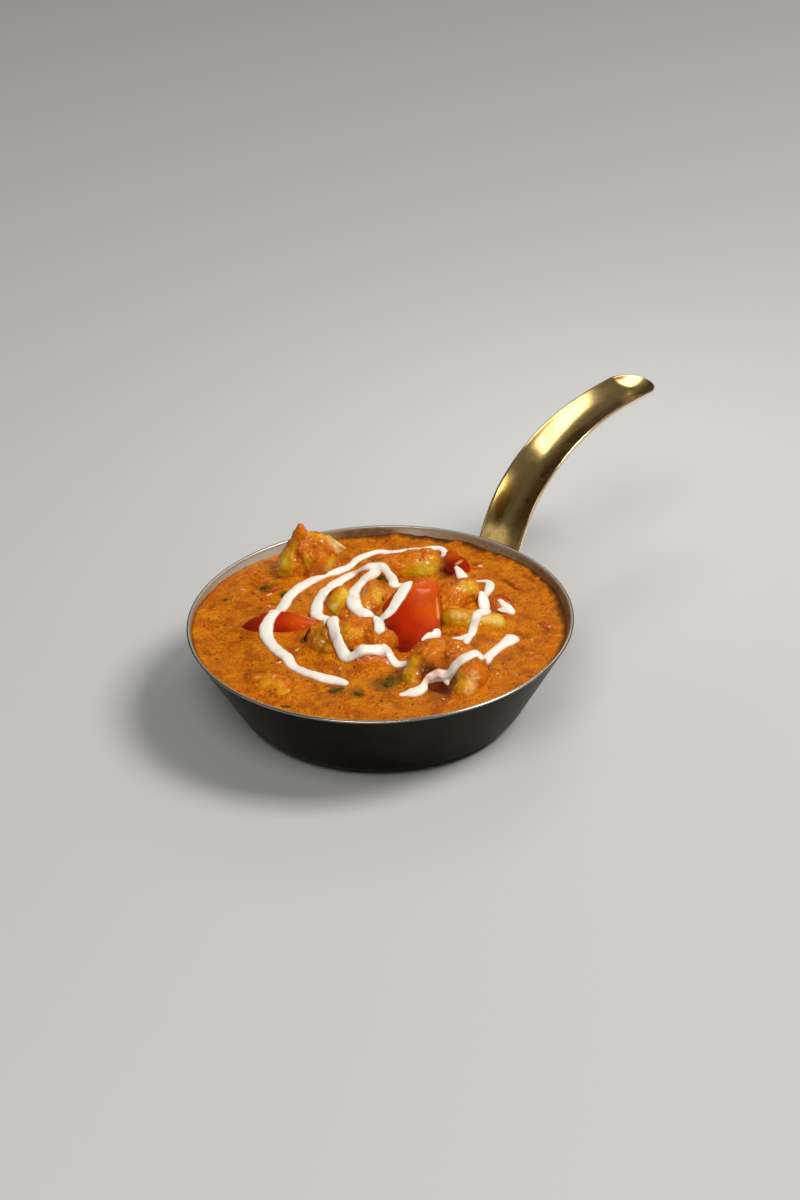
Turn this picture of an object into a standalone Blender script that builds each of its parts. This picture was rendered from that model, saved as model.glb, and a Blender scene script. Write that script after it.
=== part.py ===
"""Prawn masala served in a small steel pan with a brass strap handle.

Sizes are millimetres in the diner's view of the pan: x to the right, y away from the diner,
z up from the table. Each solid is turned about the pan's axis, so that the handle lies
along +X, and is scaled to metres when it becomes an object.
"""

import math

import bmesh
import bpy
import numpy as np
from mathutils import Vector
from mathutils.bvhtree import BVHTree

MM = 0.001
GAP = 0.3
CARVE_GAP = 0.45
HANDLE_AZIMUTH = math.radians(49.2)

# The pan: a turned shell with a flat base, a round corner and a straight conical wall.
RIM_RADIUS = 80.0
PAN_HEIGHT = 40.0
WALL_LEAN = math.radians(29.0)
CORNER_RADIUS = 12.0
SHEET = 1.2
CORNER_STEPS = 3
PAN_SECTORS = 56

# The handle: a brass strap that runs up the wall and bends over to level.
STRAP_HALF_WIDTH = 11.0
TIP_HALF_WIDTH = 12.2
STRAP_SHEET = 2.0
STRAP_SAG = 2.4
TIP_SAG = 3.8
STRAP_LENGTH = 118.0
STRAP_END_SLOPE = math.radians(-6.0)
STRAP_BEND_POWER = 1.72
STRAP_SAG_RUN = 22.0
FOOT_LENGTH = 24.0
FOOT_ROUND = 9.0
TIP_ROUND = 10.0
TIP_RUN = 45.0
STRAP_STATIONS = 22
STRAP_COLUMNS = 6
RIVET_OFFSET = 5.5
RIVET_DEPTH = 12.0
RIVET_RADIUS = 1.6
RIVET_HEAD_RADIUS = 3.1
RIVET_HEAD_HEIGHT = 1.3

# The gravy: its level at the wall, the swell of its middle and its slow waves.
GRAVY_LEVEL = 35.7
GRAVY_CROWN = 0.9
GRAVY_RINGS = 10
GRAVY_WAVES = ((0.30, 0.21, 0.07, 0.4), (0.26, -0.09, 0.24, 1.9), (0.20, 0.33, -0.19, 3.1))
RIPPLE_CENTRE = (-50.0, 46.0)
RIPPLE_REACH = 15.0
RIPPLE_HEIGHT = 0.5
RIPPLE_PITCH = 6.5

# Prawns: spine points (x, y, z, radius) from the head's cut end to the tail.
PRAWN_SPINES = {
    "prawn_back_left": (
        (-37.0, 45.0, 31.5, 6.6),
        (-36.0, 47.0, 38.5, 7.8),
        (-32.5, 49.5, 45.5, 8.2),
        (-26.0, 50.0, 47.0, 8.0),
        (-20.5, 49.0, 41.5, 7.0),
        (-20.0, 47.5, 33.0, 5.6),
    ),
    "prawn_back": (
        (25.5, 42.5, 38.0, 6.6),
        (15.0, 44.0, 38.2, 7.4),
        (4.0, 43.0, 37.6, 6.6),
        (-4.0, 39.5, 36.6, 4.8),
        (-7.5, 36.0, 35.6, 3.4),
    ),
    "prawn_middle": (
        (-16.5, 27.0, 36.0, 5.0),
        (-18.0, 17.0, 36.6, 6.2),
        (-12.0, 9.0, 36.2, 5.6),
        (-4.5, 11.5, 36.8, 5.4),
        (-2.0, 19.5, 37.2, 5.2),
        (-4.0, 26.5, 36.0, 4.2),
    ),
    "prawn_near_middle": (
        (-1.5, -27.5, 36.4, 5.4),
        (-0.5, -19.5, 38.4, 6.8),
        (-7.0, -14.0, 39.2, 7.6),
        (-16.0, -13.5, 38.2, 7.0),
        (-23.5, -15.0, 36.8, 5.6),
        (-24.0, -22.0, 35.6, 4.2),
    ),
    "prawn_right": (
        (41.0, 19.5, 36.6, 5.0),
        (36.0, 18.5, 38.6, 7.2),
        (29.5, 13.5, 38.4, 7.4),
        (28.0, 4.0, 37.0, 5.8),
        (35.0, -2.0, 37.2, 5.6),
        (46.0, -3.5, 37.0, 4.8),
        (51.5, -4.0, 36.6, 3.4),
    ),
    "prawn_near_right": (
        (10.5, -50.0, 35.8, 5.0),
        (13.0, -41.0, 37.6, 6.4),
        (21.0, -33.5, 39.6, 8.0),
        (31.5, -36.0, 39.0, 7.6),
        (36.0, -45.0, 37.8, 6.4),
        (32.5, -53.5, 36.0, 5.2),
    ),
    "prawn_near_left": (
        (-54.0, -37.0, 29.0, 5.6),
        (-49.0, -39.5, 30.2, 7.6),
        (-42.0, -42.5, 30.6, 8.2),
        (-36.0, -48.0, 29.6, 6.8),
        (-33.5, -53.0, 28.6, 5.0),
    ),
}
PRAWN_RINGS = 12
LUMP_RINGS = 5
LUMP_SIDES = 8
PRAWN_SIDES = 8
PRAWN_SEGMENTS = 6
PRAWN_GROOVE = 0.10
HEAD_ROUND = 0.16
TAIL_ROUND = 0.12
SPINE_STEPS = 70
CURL_WINDOW = 9
INNER_SHARE = 0.8
TAIL_FAN = {
    "root": (-21.0, 50.5, 47.0),
    "tips": ((-16.5, 50.0, 51.5), (-12.5, 50.5, 45.5), (-16.5, 50.0, 42.0)),
    "thickness": 2.4,
}
SAUCE_LUMPS = {
    "prawn_back_left": ((-26.5, 47.0, 39.4, 9.0), (-21.5, 49.6, 46.4, 6.0)),
    "prawn_back": ((20.5, 44.6, 40.0, 6.2),),
    "prawn_middle": ((-17.5, 20.0, 38.2, 5.4),),
    "prawn_near_middle": ((2.0, -19.5, 41.0, 4.6), (-12.0, -18.0, 40.2, 6.0), (-7.0, -26.5, 34.6, 6.8)),
    "prawn_right": ((36.0, 17.0, 40.2, 6.0),),
    "prawn_near_right": ((17.5, -37.0, 40.6, 6.4), (29.0, -35.5, 41.4, 6.6)),
}
SAUCE_PEAK = {"foot": (-33.5, 50.0, 50.5), "tip": (-33.5, 50.5, 56.6), "radius": 3.4}

# Pepper pieces: place of the middle, turn about z, slope away from the diner, tilt to the
# side, bend radii along and across, thickness, and the corners in the piece's own plane.
PEPPERS = {
    "pepper_middle": {
        "middle": (12.0, -7.5, 45.2),
        "turn": -8.0,
        "slope": 19.0,
        "tilt": 3.0,
        "bend": (150.0, 26.0),
        "sheet": 3.8,
        "corners": ((-4.4, 17.0), (9.2, 22.0), (11.7, 10.0), (12.5, -3.5), (1.6, -20.4), (-3.0, -19.3),
                    (-8.7, -8.0), (-11.9, 5.5)),
    },
    "pepper_left": {
        "middle": (-41.5, 1.0, 39.2),
        "turn": -4.0,
        "slope": 10.0,
        "tilt": 2.0,
        "bend": (20.0, 70.0),
        "sheet": 3.4,
        "corners": ((-17.8, -6.2), (-12.3, 1.6), (-6.1, 6.3), (1.2, 7.5), (9.2, 6.0), (17.9, 1.0),
                    (11.4, -5.1), (-1.2, -7.3)),
    },
    "pepper_back": {
        "middle": (34.0, 46.5, 40.2),
        "turn": -50.0,
        "slope": 20.0,
        "tilt": 0.0,
        "bend": (60.0, 24.0),
        "sheet": 3.2,
        "corners": ((-10.5, 1.4), (-4.4, 2.7), (6.6, 0.2), (8.3, -2.8), (5.0, -7.2), (-0.4, -7.6)),
    },
    "pepper_right": {
        "middle": (50.5, 10.5, 38.4),
        "turn": -48.0,
        "slope": 6.0,
        "tilt": 0.0,
        "bend": (40.0, 30.0),
        "sheet": 3.0,
        "corners": ((-4.9, -2.0), (-7.6, 3.3), (-5.0, 5.6), (3.4, 3.3), (8.3, -0.2), (6.9, -3.8),
                    (2.3, -5.4)),
    },
}
PEPPER_ROUND = 0.9
PEPPER_RINGS = (0.45, 0.88, 1.0)
PEPPER_OUTLINE = 18
CORNER_SOFTNESS = 0.4

# Cream: stops (x, y, half width) of each poured line; the lines run into each other.
CREAM = (
    ((27.6, 54.5, 0.9), (28.2, 60.0, 1.2), (25.5, 64.0, 1.3), (16.5, 62.6, 1.1), (8.0, 61.6, 1.1),
     (-1.0, 62.8, 1.3), (-8.3, 56.0, 1.7), (-13.5, 47.2, 1.9), (-24.5, 40.2, 2.0), (-31.5, 35.0, 2.2),
     (-38.5, 23.5, 2.4), (-44.5, 5.5, 2.6), (-47.3, -3.5, 2.7), (-46.0, -10.5, 2.7), (-40.0, -20.5, 2.5),
     (-34.5, -29.5, 2.5), (-27.5, -37.0, 2.4), (-19.5, -41.5, 2.4), (-13.0, -46.0, 1.3)),
    ((5.2, 30.5, 2.1), (5.4, 35.5, 2.0), (1.5, 38.6, 1.9), (-4.5, 39.8, 1.8), (-11.0, 42.0, 1.9),
     (-18.0, 37.8, 2.3), (-22.8, 31.0, 2.6), (-25.4, 20.0, 2.7), (-26.2, 10.5, 2.4), (-22.8, 4.8, 2.1),
     (-19.4, -4.0, 2.0), (-17.6, -13.5, 2.0), (-15.6, -20.0, 2.3), (-14.0, -25.5, 2.7), (-9.0, -28.8, 2.7),
     (-3.5, -28.0, 2.3), (1.5, -26.0, 2.0), (4.2, -26.4, 1.8), (6.6, -29.0, 2.1), (10.2, -28.0, 1.5)),
    ((0.5, 38.4, 1.6), (-4.0, 36.0, 1.9), (-8.4, 34.8, 2.0), (-10.6, 27.5, 2.2), (-10.6, 17.5, 2.6),
     (-10.2, 7.5, 2.8), (-6.4, 4.6, 1.9), (-2.4, 1.6, 1.8), (-1.0, -7.0, 1.9), (-0.3, -15.5, 2.0),
     (0.0, -20.8, 1.4)),
    ((-1.8, 1.4, 1.8), (1.6, -5.0, 2.0), (5.5, -2.2, 2.2), (8.4, 3.0, 2.6), (10.8, 8.2, 2.0),
     (12.8, 13.6, 1.8)),
    ((46.0, 32.4, 1.7), (44.6, 25.0, 2.2), (43.2, 16.5, 2.5), (41.6, 7.5, 2.7), (38.8, -1.5, 2.2),
     (37.2, -6.5, 1.9), (35.0, -11.5, 1.7), (29.2, -13.8, 0.8)),
    ((54.2, -12.2, 2.9), (52.6, -14.6, 3.0), (47.4, -20.7, 2.2), (43.2, -26.0, 2.1), (40.4, -31.5, 2.2),
     (37.6, -37.5, 2.1), (35.0, -40.8, 2.2), (30.5, -42.4, 2.5), (25.6, -41.6, 2.2), (21.0, -42.0, 1.7),
     (17.4, -45.6, 1.5), (15.2, -50.2, 2.4), (11.5, -51.2, 2.0), (7.4, -52.6, 0.9)),
    ((31.0, 43.6, 1.1), (33.4, 40.6, 1.8), (35.8, 37.4, 2.4), (37.4, 35.2, 1.8)),
    ((49.2, 15.6, 1.1), (51.6, 10.4, 1.8), (54.4, 5.6, 1.1)),
    ((24.2, -10.8, 1.4), (21.6, -14.0, 2.2), (17.6, -18.4, 1.0)),
)
CREAM_HEIGHT = 0.75
CREAM_SINK = 0.45
CREAM_STEP = 4.4
CREAM_HOLD = 2.2
CREAM_CLEAR = 2.6
BARE = ("prawn_back_left", "prawn_near_left")

# Flakes on the gravy: herb leaves and scraps of pepper as (x, y, half length, half width, turn).
FLAKES = (
    (1.4, -45.4, 4.2, 2.4, 20.0),
    (-29.6, -12.2, 2.2, 1.3, 70.0),
    (-18.0, -49.4, 2.8, 1.3, 10.0),
    (-40.4, 27.0, 1.7, 1.2, 50.0),
    (-44.6, 31.6, 2.6, 1.1, 60.0),
    (-9.2, -53.4, 2.0, 1.2, 150.0),
    (56.0, 28.0, 3.4, 1.0, 140.0),
    (-40.6, -27.4, 1.9, 1.1, 160.0),
)
FLAKE_CORNERS = 5
FLAKE_HEIGHT = 0.5
FLAKE_SINK = 0.8
FOOD_EDGE = math.radians(50)
METAL_EDGE = math.radians(40)

STEEL = (0.46, 0.44, 0.42)
BRASS = (0.62, 0.45, 0.17)
GRAVY = (0.56, 0.17, 0.01)
PRAWN = (0.62, 0.24, 0.02)
PEPPER = (0.52, 0.04, 0.01)


def clear_scene():
    """Removes the objects that a new Blender file holds."""
    for old in list(bpy.data.objects):
        bpy.data.objects.remove(old, do_unlink=True)


def make_material(name, colour, roughness, metallic=0.0):
    """One Principled material."""
    made = bpy.data.materials.new(name)
    made.use_nodes = True
    shader = made.node_tree.nodes["Principled BSDF"]
    shader.inputs["Base Color"].default_value = (*colour, 1.0)
    shader.inputs["Roughness"].default_value = roughness
    shader.inputs["Metallic"].default_value = metallic
    made.diffuse_color = (*colour, 1.0)
    return made


def turned(point):
    """A point of the diner's view in the part's own frame, in metres."""
    x, y, z = point
    c, s = math.cos(-HANDLE_AZIMUTH), math.sin(-HANDLE_AZIMUTH)
    return Vector((x * c - y * s, x * s + y * c, z)) * MM


def add_object(name, points, faces, finish, turn=True):
    """A closed mesh object from millimetre points, its faces made to point out."""
    mesh = bpy.data.meshes.new(name)
    place = turned if turn else (lambda p: Vector(p) * MM)
    mesh.from_pydata([place(p) for p in points], [], faces)
    work = bmesh.new()
    work.from_mesh(mesh)
    bmesh.ops.recalc_face_normals(work, faces=work.faces)
    work.to_mesh(mesh)
    work.free()
    mesh.shade_smooth()
    made = bpy.data.objects.new(name, mesh)
    made.data.materials.append(finish)
    bpy.context.scene.collection.objects.link(made)
    return made


def skin(rings):
    """Points and faces of a closed tube through rings of equal size, its two ends capped."""
    size = len(rings[0])
    points = [p for ring in rings for p in ring]
    faces = []
    for i in range(len(rings) - 1):
        for j in range(size):
            k = (j + 1) % size
            faces.append((i * size + j, i * size + k, (i + 1) * size + k, (i + 1) * size + j))
    last = (len(rings) - 1) * size
    for start in (0, last):
        points.append(tuple(np.mean([points[start + j] for j in range(size)], axis=0)))
        faces += [(start + j, start + (j + 1) % size, len(points) - 1) for j in range(size)]
    return points, faces


def combine(target, operation, others, solver="EXACT"):
    """One Boolean of target with the other objects, applied, with the others removed."""
    held = bpy.data.collections.new("held")
    bpy.context.scene.collection.children.link(held)
    for other in others:
        held.objects.link(other)
    cut = target.modifiers.new("cut", "BOOLEAN")
    cut.operation = operation
    cut.operand_type = "COLLECTION"
    cut.collection = held
    cut.solver = solver
    bpy.context.view_layer.update()
    seen = target.evaluated_get(bpy.context.evaluated_depsgraph_get())
    mesh = bpy.data.meshes.new_from_object(seen)
    target.modifiers.clear()
    target.data = mesh
    for other in others:
        bpy.data.objects.remove(other, do_unlink=True)
    bpy.data.collections.remove(held)


def keep_largest(target):
    """Drops every loose scrap of target but its largest body."""
    work = bmesh.new()
    work.from_mesh(target.data)
    left = set(work.verts)
    bodies = []
    while left:
        body, edge = set(), [left.pop()]
        while edge:
            here = edge.pop()
            body.add(here)
            for link in here.link_edges:
                near = link.other_vert(here)
                if near in left:
                    left.remove(near)
                    edge.append(near)
        bodies.append(body)
    bodies.sort(key=len)
    for body in bodies[:-1]:
        bmesh.ops.delete(work, geom=list(body), context="VERTS")
    work.to_mesh(target.data)
    work.free()


def shell_profile(inset, top):
    """(radius, height) points from the base's centre up the wall, inset from the outside."""
    turn = math.pi / 2 - WALL_LEAN
    bend = CORNER_RADIUS - inset
    tangent = CORNER_RADIUS - CORNER_RADIUS * math.cos(turn)
    base = RIM_RADIUS - (PAN_HEIGHT - tangent) * math.tan(WALL_LEAN) - CORNER_RADIUS * math.sin(turn)
    steps = [turn * i / CORNER_STEPS for i in range(CORNER_STEPS + 1)]
    corner = [(base + bend * math.sin(a), CORNER_RADIUS - bend * math.cos(a)) for a in steps]
    radius, height = corner[-1]
    wall = (radius + (top - height) * math.tan(WALL_LEAN), top)
    return [(0.0, inset), *corner, wall]


def wall_radius(height, inset=0.0):
    """The wall's radius at a height, inset from its outside."""
    return shell_profile(inset, height)[-1][0]


def make_pan(finish):
    """The pan's shell, spun round its axis."""
    outside = shell_profile(0.0, PAN_HEIGHT - 0.4)
    inside = shell_profile(SHEET, PAN_HEIGHT - 0.4)
    middle = (outside[-1][0] + inside[-1][0]) / 2 + 0.2
    profile = [*outside, (middle, PAN_HEIGHT), *reversed(inside)]
    work = bmesh.new()
    row = [work.verts.new((r * MM, 0.0, z * MM)) for r, z in profile]
    edges = [work.edges.new(pair) for pair in zip(row, row[1:])]
    bmesh.ops.spin(work, geom=row + edges, cent=(0, 0, 0), axis=(0, 0, 1), angle=2 * math.pi,
                   steps=PAN_SECTORS)
    bmesh.ops.remove_doubles(work, verts=work.verts, dist=0.01 * MM)
    bmesh.ops.recalc_face_normals(work, faces=work.faces)
    mesh = bpy.data.meshes.new("pan")
    work.to_mesh(mesh)
    work.free()
    mesh.shade_smooth()
    mesh.set_sharp_from_angle(angle=METAL_EDGE)
    made = bpy.data.objects.new("pan", mesh)
    made.data.materials.append(finish)
    bpy.context.scene.collection.objects.link(made)
    return made


def strap_slope(s):
    """The strap's slope at s along it: the wall's below the rim, then bending over to level."""
    start = math.pi / 2 - WALL_LEAN
    if s <= 0.0:
        return start
    left = 1.0 - min(s / STRAP_LENGTH, 1.0)
    return STRAP_END_SLOPE + (start - STRAP_END_SLOPE) * left**STRAP_BEND_POWER


def strap_place(s, steps=64):
    """Point (r, z) of the strap's inner face at s; s is 0 at the rim and negative on the wall."""
    r = wall_radius(PAN_HEIGHT, -GAP)
    z = PAN_HEIGHT
    for i in range(steps):
        slope = strap_slope(s * (i + 0.5) / steps)
        r += math.cos(slope) * s / steps
        z += math.sin(slope) * s / steps
    return r, z


def tip_share(s):
    """How far the strap has turned into its dished tip: 0 along it and 1 at the end."""
    share = min(max((s - STRAP_LENGTH + TIP_RUN) / TIP_RUN, 0.0), 1.0)
    return share * share


def end_share(s):
    """0 along the strap, growing to 1 at the very end of its round foot or tip."""
    for inside, span in ((s + FOOT_LENGTH, FOOT_ROUND), (STRAP_LENGTH - s, TIP_ROUND)):
        if inside < span:
            return 1.0 - inside / span
    return 0.0


def strap_ring(s):
    """One section across the strap: its edges stand higher than its middle."""
    r, z = strap_place(s)
    slope = strap_slope(s)
    tip = tip_share(s)
    full = STRAP_HALF_WIDTH + (TIP_HALF_WIDTH - STRAP_HALF_WIDTH) * tip
    half = full * math.sqrt(max(1.0 - end_share(s) ** 2, 0.03))
    hug = math.cos(WALL_LEAN) / (2.0 * wall_radius(min(z, PAN_HEIGHT)))
    open_share = min(max(s / STRAP_SAG_RUN, 0.0), 1.0)
    sag = STRAP_SAG + (TIP_SAG - STRAP_SAG) * tip
    rise = hug + (sag / full**2 - hug) * open_share
    lip = sag * end_share(s) ** 2 if s > 0.0 else 0.0
    across = [half * (2.0 * i / STRAP_COLUMNS - 1.0) for i in range(STRAP_COLUMNS + 1)]
    upper = [(y, rise * y * y + lip) for y in across]
    lower = [(y, rise * y * y + lip - STRAP_SHEET) for y in reversed(across)]
    return [(r - math.sin(slope) * up, y, z + math.cos(slope) * up) for y, up in upper + lower]


def make_handle(finish):
    """The brass strap, drilled for its rivets."""
    rings = []
    for i in range(STRAP_STATIONS + 1):
        share = i / STRAP_STATIONS
        eased = share - math.sin(2.0 * math.pi * share) * 0.09
        rings.append(strap_ring(-FOOT_LENGTH + (FOOT_LENGTH + STRAP_LENGTH) * eased))
    made = add_object("handle", *skin(rings), finish, turn=False)
    made.data.set_sharp_from_angle(angle=METAL_EDGE)
    return made


def wall_pin(name, side, radius, low, high, finish, sides=10, dome=0.0):
    """A round pin square to the pan's wall at one rivet's place, from low to high off the wall."""
    height = PAN_HEIGHT - RIVET_DEPTH
    azimuth = side * RIVET_OFFSET / wall_radius(height)
    out = Vector((math.cos(WALL_LEAN), 0.0, -math.sin(WALL_LEAN)))
    along = Vector((math.sin(WALL_LEAN), 0.0, math.cos(WALL_LEAN)))
    foot = Vector((wall_radius(height), 0.0, height))
    rings = []
    levels = [(low, radius), (high, radius)] + ([(high + dome, radius * 0.6)] if dome else [])
    for level, reach in levels:
        ring = []
        for i in range(sides):
            angle = 2.0 * math.pi * i / sides
            spot = foot + out * level + along * (reach * math.cos(angle))
            spot.y += reach * math.sin(angle)
            ring.append((spot.x * math.cos(azimuth) - spot.y * math.sin(azimuth),
                         spot.x * math.sin(azimuth) + spot.y * math.cos(azimuth), spot.z))
        rings.append(ring)
    return add_object(name, *skin(rings), finish, turn=False)


def make_rivets(pan, handle, finish):
    """Two rivets through the strap's foot and the wall, in clearance holes."""
    outer_face = GAP + STRAP_SHEET
    for side, name in ((-1, "rivet_near"), (1, "rivet_far")):
        for sheet in (pan, handle):
            drill = wall_pin("drill", side, RIVET_RADIUS + GAP, -3.0, 6.0, finish)
            combine(sheet, "DIFFERENCE", [drill])
        shank = wall_pin(name, side, RIVET_RADIUS, -SHEET, outer_face + GAP + 0.5, finish)
        head = wall_pin("head", side, RIVET_HEAD_RADIUS, outer_face + GAP,
                        outer_face + GAP + RIVET_HEAD_HEIGHT * 0.5, finish,
                        dome=RIVET_HEAD_HEIGHT * 0.5)
        combine(shank, "UNION", [head])


def gravy_height(x, y):
    """Height of the gravy's own surface at a place."""
    share = min(math.hypot(x, y) / wall_radius(GRAVY_LEVEL, SHEET), 1.0)
    height = GRAVY_LEVEL + GRAVY_CROWN * (1.0 - share * share)
    calm = 1.0 - share**6
    for size, along, across, phase in GRAVY_WAVES:
        height += calm * size * math.sin(along * x + across * y + phase)
    away = math.hypot(x - RIPPLE_CENTRE[0], y - RIPPLE_CENTRE[1])
    if away < RIPPLE_REACH:
        fade = (1.0 - (away / RIPPLE_REACH) ** 2) ** 2
        height += RIPPLE_HEIGHT * fade * math.sin(2.0 * math.pi * (y + 0.3 * x) / RIPPLE_PITCH)
    return height


def make_gravy(finish, lift=0.0):
    """The gravy as a solid: an even net of triangles on top, lifted by lift, the pan's inside below."""
    reach = wall_radius(GRAVY_LEVEL, SHEET + GAP)
    points = [(0.0, 0.0, gravy_height(0.0, 0.0) + lift)]
    starts = [0]
    for ring in range(1, GRAVY_RINGS + 1):
        starts.append(len(points))
        for i in range(6 * ring):
            angle = 2.0 * math.pi * i / (6 * ring)
            x = reach * ring / GRAVY_RINGS * math.cos(angle)
            y = reach * ring / GRAVY_RINGS * math.sin(angle)
            points.append((x, y, gravy_height(x, y) + lift))
    faces = []
    for ring in range(GRAVY_RINGS):
        inner, outer = starts[ring], starts[ring + 1]
        inner_size, outer_size = max(6 * ring, 1), 6 * (ring + 1)
        for sector in range(6):
            for i in range(ring + 1):
                a = outer + (sector * (ring + 1) + i) % outer_size
                b = outer + (sector * (ring + 1) + i + 1) % outer_size
                c = inner + (sector * ring + i) % inner_size
                faces.append((a, b, c))
                if i < ring:
                    faces.append((c, b, inner + (sector * ring + i + 1) % inner_size))
    around = 6 * GRAVY_RINGS
    above = starts[-1]
    for radius, height in reversed(shell_profile(SHEET + GAP, GRAVY_LEVEL)[1:-1:2]):
        start = len(points)
        for i in range(around):
            angle = 2.0 * math.pi * i / around
            points.append((radius * math.cos(angle), radius * math.sin(angle), height))
        for i in range(around):
            j = (i + 1) % around
            faces.append((above + i, above + j, start + j, start + i))
        above = start
    points.append((0.0, 0.0, SHEET + GAP))
    faces += [(above + i, above + (i + 1) % around, len(points) - 1) for i in range(around)]
    return add_object("curry", points, faces, finish)


def smooth_run(stops, count):
    """Points of a smooth curve through the stops, evenly spaced by their parameter."""
    stops = np.array(stops, float)
    ends = np.vstack([2 * stops[0] - stops[1], stops, 2 * stops[-1] - stops[-2]])
    made = []
    for i in range(count):
        place = (len(stops) - 1) * i / (count - 1)
        k = min(int(place), len(stops) - 2)
        t = place - k
        a, b, c, d = ends[k:k + 4]
        made.append(0.5 * (2 * b + (c - a) * t + (2 * a - 5 * b + 4 * c - d) * t * t
                           + (3 * b - a - 3 * c + d) * t**3))
    return np.array(made)


def curl_normal(line):
    """Unit vector square to the plane in which a spine curls."""
    steps = np.diff(line[:, :3], axis=0)
    total = np.cross(steps[:-1], steps[1:]).sum(axis=0)
    return total / np.linalg.norm(total)


def prawn_rings(spine, grow):
    """Rings of a curled body: blunt at the head's cut, grooved along the back, thin at the tail."""
    line = smooth_run(spine, SPINE_STEPS + 1)
    normal = curl_normal(line)
    rings = []
    for i in range(PRAWN_RINGS):
        share = i / (PRAWN_RINGS - 1)
        k = round(share * SPINE_STEPS)
        before, after = max(k - CURL_WINDOW, 0), min(k + CURL_WINDOW, SPINE_STEPS)
        ahead = line[min(k + 2, SPINE_STEPS), :3] - line[max(k - 2, 0), :3]
        ahead /= np.linalg.norm(ahead)
        side = normal - ahead * normal.dot(ahead)
        side /= np.linalg.norm(side)
        inward = np.cross(side, ahead)
        first, last = line[k, :3] - line[before, :3], line[after, :3] - line[k, :3]
        turn = math.atan2(np.linalg.norm(np.cross(first, last)), first.dot(last))
        curl_radius = (np.linalg.norm(first) + np.linalg.norm(last)) / 2 / max(turn, 0.01)
        radius = line[k, 3]
        for part, span in ((share, HEAD_ROUND), (1.0 - share, TAIL_ROUND)):
            if part < span:
                radius *= math.sqrt(max(1.0 - (1.0 - part / span) ** 2, 0.06))
        groove = PRAWN_GROOVE * abs(math.cos(math.pi * PRAWN_SEGMENTS * share)) ** 3
        end = {0: -1.0, PRAWN_RINGS - 1: 1.0}.get(i, 0.0)
        ring = []
        for j in range(PRAWN_SIDES):
            angle = 2.0 * math.pi * j / PRAWN_SIDES
            reach = radius * (1.0 - groove * (0.6 - 0.4 * math.cos(angle))) + grow
            towards = min(reach * math.cos(angle), INNER_SHARE * curl_radius)
            spot = line[k, :3] + inward * towards + side * (reach * math.sin(angle))
            ring.append(tuple(spot + ahead * (end * grow)))
        rings.append(ring)
    return rings


def make_prawn(name, finish, grow=0.0):
    """One prawn, or with grow the space that it keeps free round itself."""
    made = add_object(name, *skin(prawn_rings(PRAWN_SPINES[name], grow)), finish)
    extras = [make_lump(lump, finish, grow) for lump in SAUCE_LUMPS.get(name, ())]
    if name == "prawn_back_left":
        extras += [make_tail_fan(finish, grow), make_sauce_peak(finish, grow)]
    if extras:
        combine(made, "UNION", extras, "MANIFOLD")
    return made


def make_lump(lump, finish, grow):
    """One round lump of flesh or sauce that stands out of a prawn."""
    x, y, z, radius = lump
    rings = []
    for i in range(1, LUMP_RINGS):
        tip = math.pi * i / LUMP_RINGS
        reach, height = (radius + grow) * math.sin(tip), (radius + grow) * math.cos(tip)
        rings.append([(x + reach * math.cos(a), y + reach * math.sin(a), z + height)
                      for a in (2.0 * math.pi * j / LUMP_SIDES for j in range(LUMP_SIDES))])
    return add_object("lump", *skin(rings), finish)


def make_tail_fan(finish, grow):
    """The stiff tail end that stands out of the sauce, a thin wedge."""
    root = np.array(TAIL_FAN["root"])
    half = TAIL_FAN["thickness"] / 2 + grow
    back = np.array((0.0, half, 0.0))
    tips = [np.array(tip) for tip in TAIL_FAN["tips"]]
    tips = [tip + (tip - root) / np.linalg.norm(tip - root) * grow for tip in tips]
    outline = [root + (-3.0, 0.0, 3.0), *tips, root + (-3.0, 0.0, -5.0)]
    rings = [[tuple(p - back) for p in outline], [tuple(p + back) for p in outline]]
    return add_object("fan", *skin(rings), finish)


def make_sauce_peak(finish, grow):
    """A little peak of sauce and shell on the highest prawn."""
    foot, tip = np.array(SAUCE_PEAK["foot"]), np.array(SAUCE_PEAK["tip"])
    rings = []
    for share in (0.0, 0.35, 0.7, 1.0):
        centre = foot + (tip - foot) * share + (0.0, 0.0, grow * share)
        reach = SAUCE_PEAK["radius"] * (1.0 - 0.72 * share) + grow
        rings.append([tuple(centre + (reach * math.cos(a), reach * math.sin(a), 0.0))
                      for a in (math.pi * i / 3 for i in range(6))])
    return add_object("peak", *skin(rings), finish)


def rounded_outline(corners, count):
    """Points round a soft outline through the corners."""
    loop = [*corners, corners[0]]
    lead = np.array([corners[-1], *loop, corners[1]], float)
    made = []
    for i in range(count):
        place = len(corners) * i / count
        k = int(place)
        t = place - k
        a, b, c, d = lead[k:k + 4]
        curve = 0.5 * (2 * b + (c - a) * t + (2 * a - 5 * b + 4 * c - d) * t * t
                       + (3 * b - a - 3 * c + d) * t**3)
        made.append(curve * CORNER_SOFTNESS + (b + (c - b) * t) * (1.0 - CORNER_SOFTNESS))
    return np.array(made)


def pepper_place(shape, u, v, down):
    """A point of a pepper piece: (u, v) on its bent skin, and down under the skin."""
    bend_v, bend_u = shape["bend"]
    w = -u * u / (2 * bend_u) - v * v / (2 * bend_v) - down
    turn, slope, tilt = (math.radians(shape[k]) for k in ("turn", "slope", "tilt"))
    u, w = u * math.cos(tilt) + w * math.sin(tilt), w * math.cos(tilt) - u * math.sin(tilt)
    v, w = v * math.cos(slope) - w * math.sin(slope), v * math.sin(slope) + w * math.cos(slope)
    x, y = u * math.cos(turn) - v * math.sin(turn), u * math.sin(turn) + v * math.cos(turn)
    middle = shape["middle"]
    return middle[0] + x, middle[1] + y, middle[2] + w


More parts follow.
